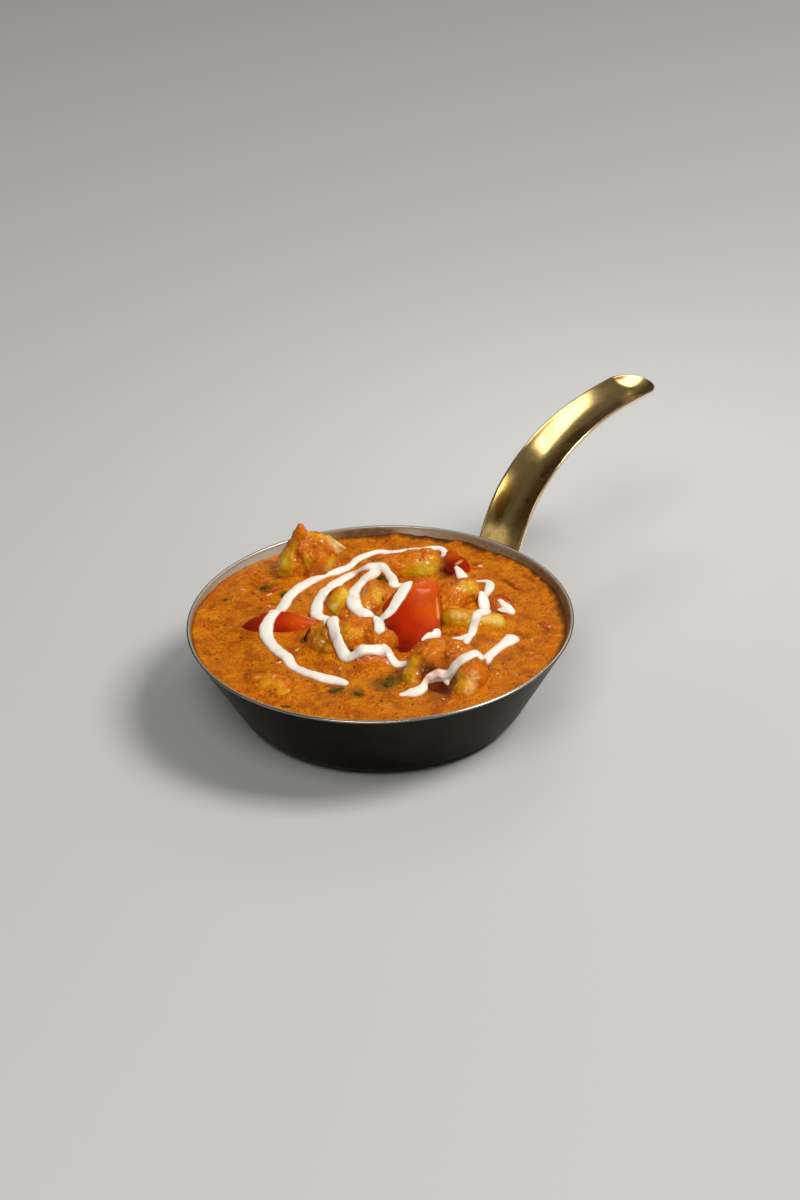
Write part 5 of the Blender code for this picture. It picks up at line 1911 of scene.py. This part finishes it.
# Pale patches are partly pale flesh and partly painted highlights; dark red ones are painted shade.
PRAWNS = (
    Prawn(
        "prawn_back_left",
        spine=((-36.6, 45.4, 31.5, 6.4), (-36.6, 46.0, 38.5, 7.2), (-33.0, 49.0, 44.2, 7.6),
               (-26.5, 50.0, 45.4, 7.4), (-22.4, 49.0, 41.0, 6.2), (-21.8, 47.5, 33.0, 5.4)),
        lumps=((-27.0, 47.5, 39.4, 8.6), (-24.0, 49.4, 45.6, 5.4), (-38.0, 44.8, 40.2, 5.3),
               (-26.0, 44.6, 42.0, 5.6), (-30.5, 44.4, 44.6, 4.2)),
        tints={Tint.FLESH: (((-41.4, 43.4, 38.5), (-40.2, 43.4, 43.5), 4.8, 0.85),
                            ((-38.5, 44.0, 46.5), (-36.5, 45.0, 49.5), 3.0, 0.4),
                            ((-28.5, 49.6, 52.8), (-19.5, 49.0, 51.2), 2.2, 0.6),
                            ((-30.8, 41.0, 46.4), (-30.2, 40.6, 44.0), 1.6, 0.6),
                            ((-22.4, 42.4, 41.5), (-19.6, 43.4, 42.6), 2.4, 0.8)),
               Tint.PALE_AND_HIGHLIGHT: (((-18.6, 49.0, 48.6), (-14.5, 49.0, 45.2), 3.0, 1.0),
                           ((-18.4, 49.0, 46.5), (-18.2, 49.0, 42.4), 1.6, 1.0)),
               Tint.PINK: (((-22.8, 43.4, 46.7), (-22.6, 43.4, 46.5), 1.3, 0.9),)},
        fan=((-24.0, 50.5, 51.6), (-20.9, 50.3, 51.6), (-18.0, 50.1, 48.9), (-13.7, 50.0, 45.0),
             (-18.6, 49.8, 41.3), (-24.0, 50.5, 42.0)),
        peak=((-33.0, 49.2, 46.0), (-32.8, 50.0, 56.2)),
        creases=(((-35.6, 43.0, 49.0), (-35.0, 39.6, 38.0), 1.3, 0.5),),
    ),
    Prawn(
        "prawn_back",
        spine=((25.5, 42.5, 38.0, 6.6), (15.0, 44.0, 38.2, 7.4), (4.0, 43.0, 37.6, 6.6),
               (-4.0, 39.5, 36.6, 4.8), (-7.5, 36.0, 35.6, 3.4)),
        lumps=((20.5, 44.6, 40.0, 6.2), (8.0, 40.6, 38.6, 5.0)),
        tints={Tint.FLESH: (((13.0, 36.8, 39.0), (18.0, 37.0, 39.4), 3.4, 0.6),
                            ((18.0, 37.0, 39.4), (26.0, 37.6, 40.0), 4.4, 0.95),
                            ((21.0, 40.5, 44.0), (26.0, 41.0, 43.5), 1.8, 0.4))},
        creases=(((8.0, 38.0, 44.0), (8.5, 50.0, 44.0), 1.6, 0.5),
                 ((-1.0, 36.0, 41.0), (0.5, 46.0, 41.5), 1.6, 0.6)),
    ),
    Prawn(
        "prawn_middle",
        spine=((-16.0, 27.0, 36.0, 4.6), (-17.6, 17.0, 36.6, 5.6), (-12.6, 9.0, 36.2, 5.4),
               (-4.5, 11.5, 36.8, 5.4), (-2.0, 19.5, 37.2, 5.2), (-4.0, 26.5, 36.0, 4.2)),
        lumps=((-16.8, 20.0, 38.0, 4.8), (-4.6, 14.0, 38.0, 4.6)),
        tints={Tint.FLESH: (((-13.6, 17.0, 41.8), (-19.4, 9.6, 39.4), 4.0, 0.9),
                            ((-1.0, 18.5, 42.3), (-0.5, 12.0, 41.0), 3.2, 0.5),
                            ((-5.6, 14.0, 42.6), (-5.0, 9.0, 41.2), 2.4, 0.35)),
               Tint.PALE_AND_HIGHLIGHT: (((-17.6, 9.6, 40.6), (-19.6, 10.4, 39.6), 1.4, 0.45),)},
    ),
    Prawn(
        "prawn_near_middle",
        spine=((-1.5, -27.5, 36.4, 5.4), (-0.5, -19.5, 38.4, 6.8), (-7.0, -14.0, 39.2, 7.6),
               (-16.0, -13.5, 38.2, 7.2), (-24.0, -14.0, 37.0, 5.9), (-24.0, -22.0, 35.6, 4.2)),
        lumps=((2.8, -20.5, 40.6, 4.6), (-12.0, -18.0, 40.2, 6.0), (-6.0, -27.0, 35.0, 6.8),
               (-4.0, -12.5, 42.6, 4.2), (-12.0, -12.0, 42.4, 4.4), (-18.5, -10.5, 41.4, 4.4),
               (-27.0, -13.0, 39.5, 3.0), (-20.5, -21.0, 36.0, 4.2), (-2.0, -17.5, 41.6, 4.8),
               (0.8, -30.6, 33.8, 4.3)),
        tints={Tint.FLESH: (((-13.0, -19.0, 45.6), (-9.5, -22.0, 44.8), 3.6, 0.3),
                            ((-20.0, -21.0, 38.5), (-19.0, -21.5, 37.5), 1.6, 0.5)),
               Tint.OLIVE: (((-25.5, -13.0, 42.0), (-23.0, -20.5, 39.0), 5.0, 0.6),),
               Tint.PINK: (((-7.6, -32.5, 38.2), (2.8, -32.0, 37.2), 3.3, 1.0),)},
        creases=(((-20.5, -20.0, 43.0), (-21.5, -8.0, 42.0), 1.2, 0.9),
                 ((-26.0, -19.5, 41.0), (-23.5, -14.0, 43.0), 0.9, 0.5)),
    ),
    Prawn(
        "prawn_right",
        spine=((41.0, 19.5, 36.6, 5.0), (36.0, 18.5, 38.6, 7.2), (29.5, 13.5, 38.4, 7.4),
               (28.0, 4.0, 37.0, 5.8), (35.0, -2.0, 37.2, 5.6), (46.0, -3.5, 37.0, 4.8),
               (51.5, -4.0, 36.6, 3.4)),
        lumps=((36.0, 17.0, 40.2, 6.0), (30.5, 8.5, 40.0, 5.2)),
        tints={Tint.FLESH: (((26.5, -2.6, 39.4), (37.0, -4.6, 39.6), 4.2, 0.6),
                            ((38.0, -5.0, 39.6), (51.5, -6.0, 38.4), 4.8, 0.85),
                            ((36.5, 13.5, 45.5), (41.0, 15.5, 43.0), 3.6, 0.65),
                            ((27.0, 2.6, 41.5), (38.0, 2.0, 41.5), 1.6, 0.35)),
               Tint.PALE_AND_HIGHLIGHT: (((30.5, -3.4, 41.6), (34.5, -4.4, 41.6), 1.5, 0.6),
                           ((42.5, -5.6, 41.0), (49.5, -6.2, 39.6), 1.9, 0.6))},
        creases=(((23.0, 1.0, 42.0), (42.0, 3.0, 40.5), 1.7, 1.1),
                 ((31.5, 18.0, 46.0), (33.5, 10.0, 46.0), 1.4, 0.5),
                 ((41.0, -8.0, 40.0), (40.4, 0.0, 42.0), 0.9, 0.35),
                 ((33.0, -8.0, 40.0), (32.6, 0.0, 42.0), 0.9, 0.3)),
    ),
    Prawn(
        "prawn_near_right",
        spine=((11.0, -50.0, 35.8, 5.0), (14.6, -41.4, 37.0, 5.9), (21.0, -33.5, 39.6, 8.0),
               (31.5, -36.0, 39.0, 7.6), (36.0, -45.0, 37.8, 6.8), (31.6, -53.0, 36.0, 6.0)),
        lumps=((19.0, -37.2, 40.6, 6.2), (29.0, -35.5, 41.4, 6.6), (32.8, -53.4, 35.0, 5.6),
               (22.5, -31.0, 42.5, 4.4)),
        tints={Tint.FLESH: (((13.4, -40.4, 42.6), (11.0, -45.0, 41.0), 3.2, 0.5),
                            ((11.0, -45.0, 40.6), (10.0, -50.0, 39.0), 3.6, 0.55),
                            ((29.0, -50.0, 41.0), (31.5, -53.5, 39.0), 4.2, 0.6)),
               Tint.OLIVE: (((9.5, -49.0, 39.5), (9.5, -52.0, 38.5), 3.4, 0.4),),
               Tint.PALE_AND_HIGHLIGHT: (((35.4, -53.8, 38.5), (36.2, -50.5, 41.0), 2.6, 0.6),
                           ((33.0, -57.0, 38.0), (35.0, -56.0, 38.0), 1.8, 0.5)),
               # Painted shade in dark red inside the curl.
               Tint.MAROON_AND_SHADE: (((17.8, -43.5, 40.0), (24.5, -45.0, 38.0), 4.4, 1.0),
                             ((18.6, -44.6, 41.6), (16.6, -48.2, 39.6), 2.2, 1.0),
                             ((24.0, -43.5, 37.0), (27.5, -50.0, 36.5), 3.4, 1.0))},
        creases=(((26.5, -28.0, 46.0), (25.5, -36.0, 47.5), 1.6, 0.5),),
    ),
    Prawn(
        "prawn_near_left",
        spine=((-54.0, -37.0, 29.0, 5.6), (-49.0, -39.5, 30.2, 7.6), (-42.0, -42.5, 30.6, 8.2),
               (-36.0, -48.0, 29.6, 6.8), (-33.5, -53.0, 28.6, 5.0)),
        lumps=((-38.6, -49.6, 30.8, 6.9), (-45.5, -44.0, 31.2, 6.6)),
        tints={Tint.FLESH: (((-46.0, -45.8, 37.4), (-41.5, -46.8, 37.6), 3.2, 0.45),
                            ((-38.6, -51.0, 37.2), (-35.0, -52.4, 36.8), 3.2, 0.65),
                            ((-47.5, -41.0, 38.4), (-45.0, -41.0, 38.2), 2.4, 0.4))},
    ),
)

# On each piece, the spots of shade and of light are painted shade and painted light, and the pale streaks are
# painted highlight lines.
PEPPERS = (
    Pepper("pepper_middle", middle=(12.0, -7.5, 45.2),
           turn=-8.0, slope=19.0, tilt=3.0, bend=(150.0, 26.0), sheet=3.8,
           corners=((-4.4, 17.0), (9.2, 22.0), (11.7, 10.0), (12.5, -3.5), (1.6, -20.4), (-3.0, -19.3),
                    (-8.7, -8.0), (-11.9, 5.5)),
           shade=((0.5, -6.0, 43.0, 5.0), (8.0, -26.0, 38.0, 10.0), (10.3, -21.0, 39.8, 1.6),
                  (3.0, -15.0, 41.0, 6.0)),
           painted_light=((19.0, 10.0, 48.0, 13.0), (21.0, -4.0, 45.0, 8.0)),
           film=((5.0, -25.0, 38.0, 3.0),),
           dents=((19.2, 6.8, 48.6, 1.3), (17.2, 6.4, 49.0, 0.9)),
           pale=(((24.0, -6.6, 42.6), (23.2, 3.0, 45.6), 0.7, 0.8),)),
    Pepper("pepper_left", middle=(-41.5, 1.0, 39.2),
           turn=-4.0, slope=10.0, tilt=2.0, bend=(20.0, 70.0), sheet=3.4,
           corners=((-18.6, -6.6), (-12.3, 1.6), (-6.1, 6.3), (1.2, 7.5), (9.2, 6.0), (17.9, 1.0),
                    (11.4, -5.1), (-1.2, -7.3)),
           shade=((-57.0, -4.0, 37.5, 12.0), (-41.0, -7.0, 36.0, 5.0)),
           painted_light=((-33.0, 2.0, 39.5, 6.0),),
           film=((-60.0, -5.0, 37.0, 4.0), (-46.0, -7.0, 37.0, 3.5), (-50.5, 5.0, 38.0, 2.0)),
           dents=((-31.0, -1.5, 38.0, 1.1), (-35.5, -0.5, 38.8, 0.8)),
           pale=(((-33.0, 5.6, 38.6), (-27.0, 2.6, 37.4), 0.5, 0.5),
                 ((-54.0, 3.0, 39.0), (-49.5, 6.6, 39.0), 0.6, 0.5))),
    Pepper("pepper_back", middle=(34.0, 46.5, 40.2),
           turn=-50.0, slope=20.0, tilt=0.0, bend=(60.0, 24.0), sheet=3.2,
           corners=((-10.5, 1.4), (-4.4, 2.7), (6.6, 0.2), (8.3, -2.8), (5.0, -7.2), (-0.4, -7.6)),
           shade=((29.0, 42.0, 37.0, 7.5),),
           painted_light=((32.0, 51.0, 40.5, 5.5),),
           film=((40.0, 50.0, 38.0, 5.0),),
           dents=((34.0, 47.5, 40.2, 1.0), (37.0, 49.0, 39.8, 0.8)),
           pale=(((33.0, 43.6, 39.6), (36.4, 45.4, 39.4), 0.9, 0.8),
                 ((36.5, 47.0, 40.0), (34.5, 49.0, 40.8), 0.7, 0.5))),
    Pepper("pepper_right", middle=(50.5, 10.5, 38.4),
           turn=-48.0, slope=6.0, tilt=0.0, bend=(40.0, 30.0), sheet=3.0,
           corners=((-4.9, -2.0), (-7.6, 3.3), (-5.0, 5.6), (3.4, 3.3), (8.3, -0.2),
                    (6.9, -3.8), (2.3, -5.4)),
           painted_light=((50.5, 10.5, 38.4, 9.0),),
           film=((47.0, 13.0, 38.0, 4.0), (52.0, 4.5, 38.0, 3.0)),
           dents=((53.5, 9.0, 38.2, 1.0),),
           pale=(((49.0, 10.6, 39.0), (50.4, 7.0, 38.6), 0.9, 0.6),)),
)

CREAM_LINES = (
    ((27.6, 54.5, 1.1), (28.2, 60.0, 1.5), (25.5, 64.0, 1.7), (16.5, 62.6, 1.4), (8.0, 61.4, 1.4),
     (-1.0, 62.4, 1.7), (-8.3, 56.0, 1.8), (-13.5, 47.2, 1.9), (-24.5, 40.2, 2.0), (-31.5, 35.0, 2.2),
     (-38.5, 23.5, 2.5), (-43.8, 6.5, 2.5), (-46.8, -3.0, 2.6), (-46.0, -10.5, 2.7), (-41.6, -19.4, 2.4),
     (-37.8, -24.4, 2.5), (-35.4, -30.4, 2.2), (-29.9, -36.4, 2.2), (-24.6, -40.2, 2.4),
     (-18.6, -42.8, 2.3), (-13.0, -46.0, 1.4)),
    ((11.6, 32.2, 0.7), (8.6, 31.4, 1.6), (6.0, 31.6, 2.4), (5.2, 35.0, 2.2), (1.5, 38.2, 2.1),
     (-4.5, 39.4, 1.9), (-11.0, 41.4, 2.0), (-17.4, 36.8, 2.4), (-22.0, 29.4, 2.7), (-25.4, 18.5, 2.6),
     (-26.6, 10.0, 2.5), (-24.8, 5.6, 2.6), (-22.0, 4.0, 2.6), (-20.6, -1.5, 2.5), (-19.6, -9.0, 2.2),
     (-18.4, -16.5, 2.3), (-16.4, -22.8, 2.6), (-13.0, -27.8, 2.9), (-7.0, -28.6, 2.6), (-2.0, -27.4, 2.3),
     (2.2, -26.4, 2.0), (3.8, -27.8, 1.9), (4.2, -30.4, 1.9), (5.8, -32.4, 2.1), (8.6, -32.6, 2.2),
     (10.8, -31.6, 1.6)),
    ((0.5, 38.0, 1.6), (-3.4, 35.6, 1.9), (-7.6, 33.8, 2.0), (-10.4, 28.5, 2.1), (-10.8, 18.5, 2.6),
     (-10.6, 8.8, 2.9), (-8.0, 5.6, 2.6), (-4.6, 3.6, 2.6), (-2.6, -1.0, 2.7), (-1.4, -8.0, 2.6),
     (-0.7, -14.0, 2.6), (-0.5, -18.5, 2.3), (-0.2, -21.8, 1.5)),
    ((-1.2, -3.0, 2.1), (1.8, -6.0, 2.3), (5.0, -4.2, 2.3), (8.0, 1.5, 2.5), (10.8, 7.0, 2.3),
     (12.7, 11.2, 1.7), (14.4, 14.0, 1.6), (16.0, 16.2, 1.7)),
    ((37.5, 35.0, 0.5), (41.5, 34.2, 0.6), (45.4, 33.0, 1.3), (46.2, 28.6, 2.1), (44.4, 21.5, 1.9),
     (43.0, 15.0, 2.6), (43.2, 8.0, 2.5), (43.4, 1.5, 2.4), (42.8, -2.8, 2.3), (40.0, -4.8, 2.1),
     (38.2, -8.4, 1.9), (36.6, -12.0, 1.9), (33.0, -13.8, 1.4), (29.0, -13.6, 0.7)),
    ((36.6, -11.5, 1.8), (35.3, -15.0, 1.6), (34.3, -18.6, 0.7)),
    ((54.8, -12.4, 3.1), (52.8, -15.4, 3.0), (47.8, -21.4, 2.1), (43.6, -27.6, 2.2), (41.2, -33.5, 2.3),
     (39.6, -37.4, 2.1), (37.0, -40.6, 2.2), (32.2, -43.4, 2.4), (27.2, -43.8, 2.3), (24.0, -43.0, 2.1),
     (20.4, -44.0, 1.8), (17.6, -46.6, 1.3), (16.4, -50.6, 1.9), (14.0, -53.0, 2.4), (11.0, -53.8, 2.1),
     (6.6, -54.8, 0.8)),
    ((41.2, -34.0, 2.1), (39.8, -39.5, 1.9), (39.2, -43.4, 1.2)),
    ((25.0, -43.8, 1.8), (25.9, -46.2, 1.1), (26.4, -48.2, 0.5)),
    ((32.4, 43.0, 0.8), (33.8, 39.8, 1.7), (35.4, 36.2, 2.5), (37.0, 34.2, 1.7)),
    ((49.2, 13.6, 0.8), (51.0, 10.0, 1.6), (53.0, 6.0, 2.3), (55.4, 3.2, 1.4)),
    ((48.2, 6.6, 0.6), (50.6, 5.4, 1.2), (53.6, 4.8, 1.5)),
    ((24.6, -10.4, 1.3), (22.4, -13.6, 2.2), (18.4, -17.6, 1.2), (16.4, -19.4, 0.7)),
)

# Prawns that stand clear of the cream.
BARE = ("prawn_back_left", "prawn_near_left")


@dataclass(frozen=True)
class Light:
    """One soft light: its place, its width and height, its watts, its colour and what it faces."""

    name: str
    place: Stop
    size: tuple[float, float]
    power: float
    colour: Colour
    target: Stop = (0.0, 0.0, 40.0)

    def build(self) -> None:
        """Makes the light."""
        data = bpy.data.lights.new(self.name, "AREA")
        data.shape = "RECTANGLE"
        data.size, data.size_y = (side * MM for side in self.size)
        data.energy = self.power
        data.color = self.colour
        light = bpy.data.objects.new(self.name, data)
        start, aim = (Vector(row) for row in turned(np.array([self.place, self.target])))
        pose = (aim - start).to_track_quat("-Z", "Y").to_matrix().to_4x4()
        light.matrix_world = Matrix.Translation(start) @ pose
        bpy.context.scene.collection.objects.link(light)


@dataclass
class Studio:
    """The plain pale floor, the soft lights and the photograph's viewpoint."""

    dip: float = 0.52423098
    roll: float = -0.0318486
    stand: Stop = (8.411, -850.836, 539.457)
    lens: float = 72.0
    sensor: float = 36.0
    nearest: float = 0.05
    floor_size: float = 12.0
    floor_gap: float = 0.05
    world: Colour = (0.09, 0.09, 0.09)
    lights: tuple[Light, ...] = (
        Light("key", (1290.0, -180.0, 1800.0), (760.0, 760.0), 37.0, (1.0, 0.93, 0.82)),
        Light("front", (-320.0, -1210.0, 1810.0), (1100.0, 1100.0), 18.5, (1.0, 0.95, 0.87)),
        Light("left", (-811.0, -236.0, 449.0), (350.0, 270.0), 0.135, (1.0, 0.97, 0.9)),
        Light("strip", (109.0, 221.0, 250.0), (200.0, 88.0), 0.16, (1.0, 1.0, 1.0), (109.0, 221.0, 0.0)),
    )

    def build(self) -> None:
        """Makes the floor, the lights, the world and the camera."""
        self.build_floor()
        self.build_world()
        for light in self.lights:
            light.build()
        self.build_camera()
        bpy.context.scene.view_settings.view_transform = "Standard"

    def build_floor(self) -> None:
        """Makes the floor, just under the pan."""
        half = self.floor_size / 2 / MM
        corners = [(x * half, y * half, -self.floor_gap) for x, y in ((-1, -1), (1, -1), (1, 1), (-1, 1))]
        mesh = mesh_of("floor", (turned(np.array(corners)), np.array([[0, 1, 2, 3]])))
        mesh.materials.append(FloorFinish().made())
        floor = bpy.data.objects.new("floor", mesh)
        bpy.context.scene.collection.objects.link(floor)

    def build_world(self) -> None:
        """Makes the even surroundings."""
        world = bpy.data.worlds.new("studio")
        world.use_nodes = True
        world.node_tree.nodes["Background"].inputs["Color"].default_value = (*self.world, 1.0)
        bpy.context.scene.world = world

    def build_camera(self) -> None:
        """Makes the camera at the photograph's viewpoint."""
        forward = Vector((0.0, math.cos(self.dip), -math.sin(self.dip)))
        level = Vector((1.0, 0.0, 0.0))
        rise = Vector((0.0, math.sin(self.dip), math.cos(self.dip)))
        right = level * math.cos(self.roll) + rise * math.sin(self.roll)
        up = -level * math.sin(self.roll) + rise * math.cos(self.roll)
        place = Vector(self.stand) * MM
        pose = Matrix([*zip(right, up, -forward, place), (0.0, 0.0, 0.0, 1.0)])
        data = bpy.data.cameras.new("view")
        data.lens = self.lens
        data.sensor_width = self.sensor
        data.clip_start = self.nearest
        camera = bpy.data.objects.new("view", data)
        bpy.context.scene.collection.objects.link(camera)
        camera.matrix_world = Matrix.Rotation(-HANDLE_AZIMUTH, 4, "Z") @ pose
        bpy.context.scene.camera = camera


def main() -> None:
    """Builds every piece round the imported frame, then the studio."""
    logging.basicConfig(level=logging.INFO, format="%(name)s: %(message)s")
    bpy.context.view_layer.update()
    log.info("%d packed nodes", len(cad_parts))
    pan = Pan()
    pan.build()
    Handle(pan).build()
    sauce = Lumps(3)
    prawn_finish = PrawnFinish().made()
    pepper_finish = PepperFinish().made()
    gravy = Gravy(pan)
    toppings = {prawn.node: prawn.build(prawn_finish, sauce, gravy.still_height) for prawn in PRAWNS}
    toppings |= {pepper.node: pepper.build(pepper_finish, Lumps(5)) for pepper in PEPPERS}
    surface = gravy.build(list(toppings.values()), Lumps(7))
    garnish = Garnish(Ground([surface, *toppings.values()]), Ground(list(toppings.values())))
    for bits in GARNISH:
        garnish.build(bits)
    under = [shape for node, shape in toppings.items() if node not in BARE]
    Cream(CREAM_LINES).build(Ground([surface, *under]), Lumps(9))
    Studio().build()


if __name__ == "__main__":
    main()
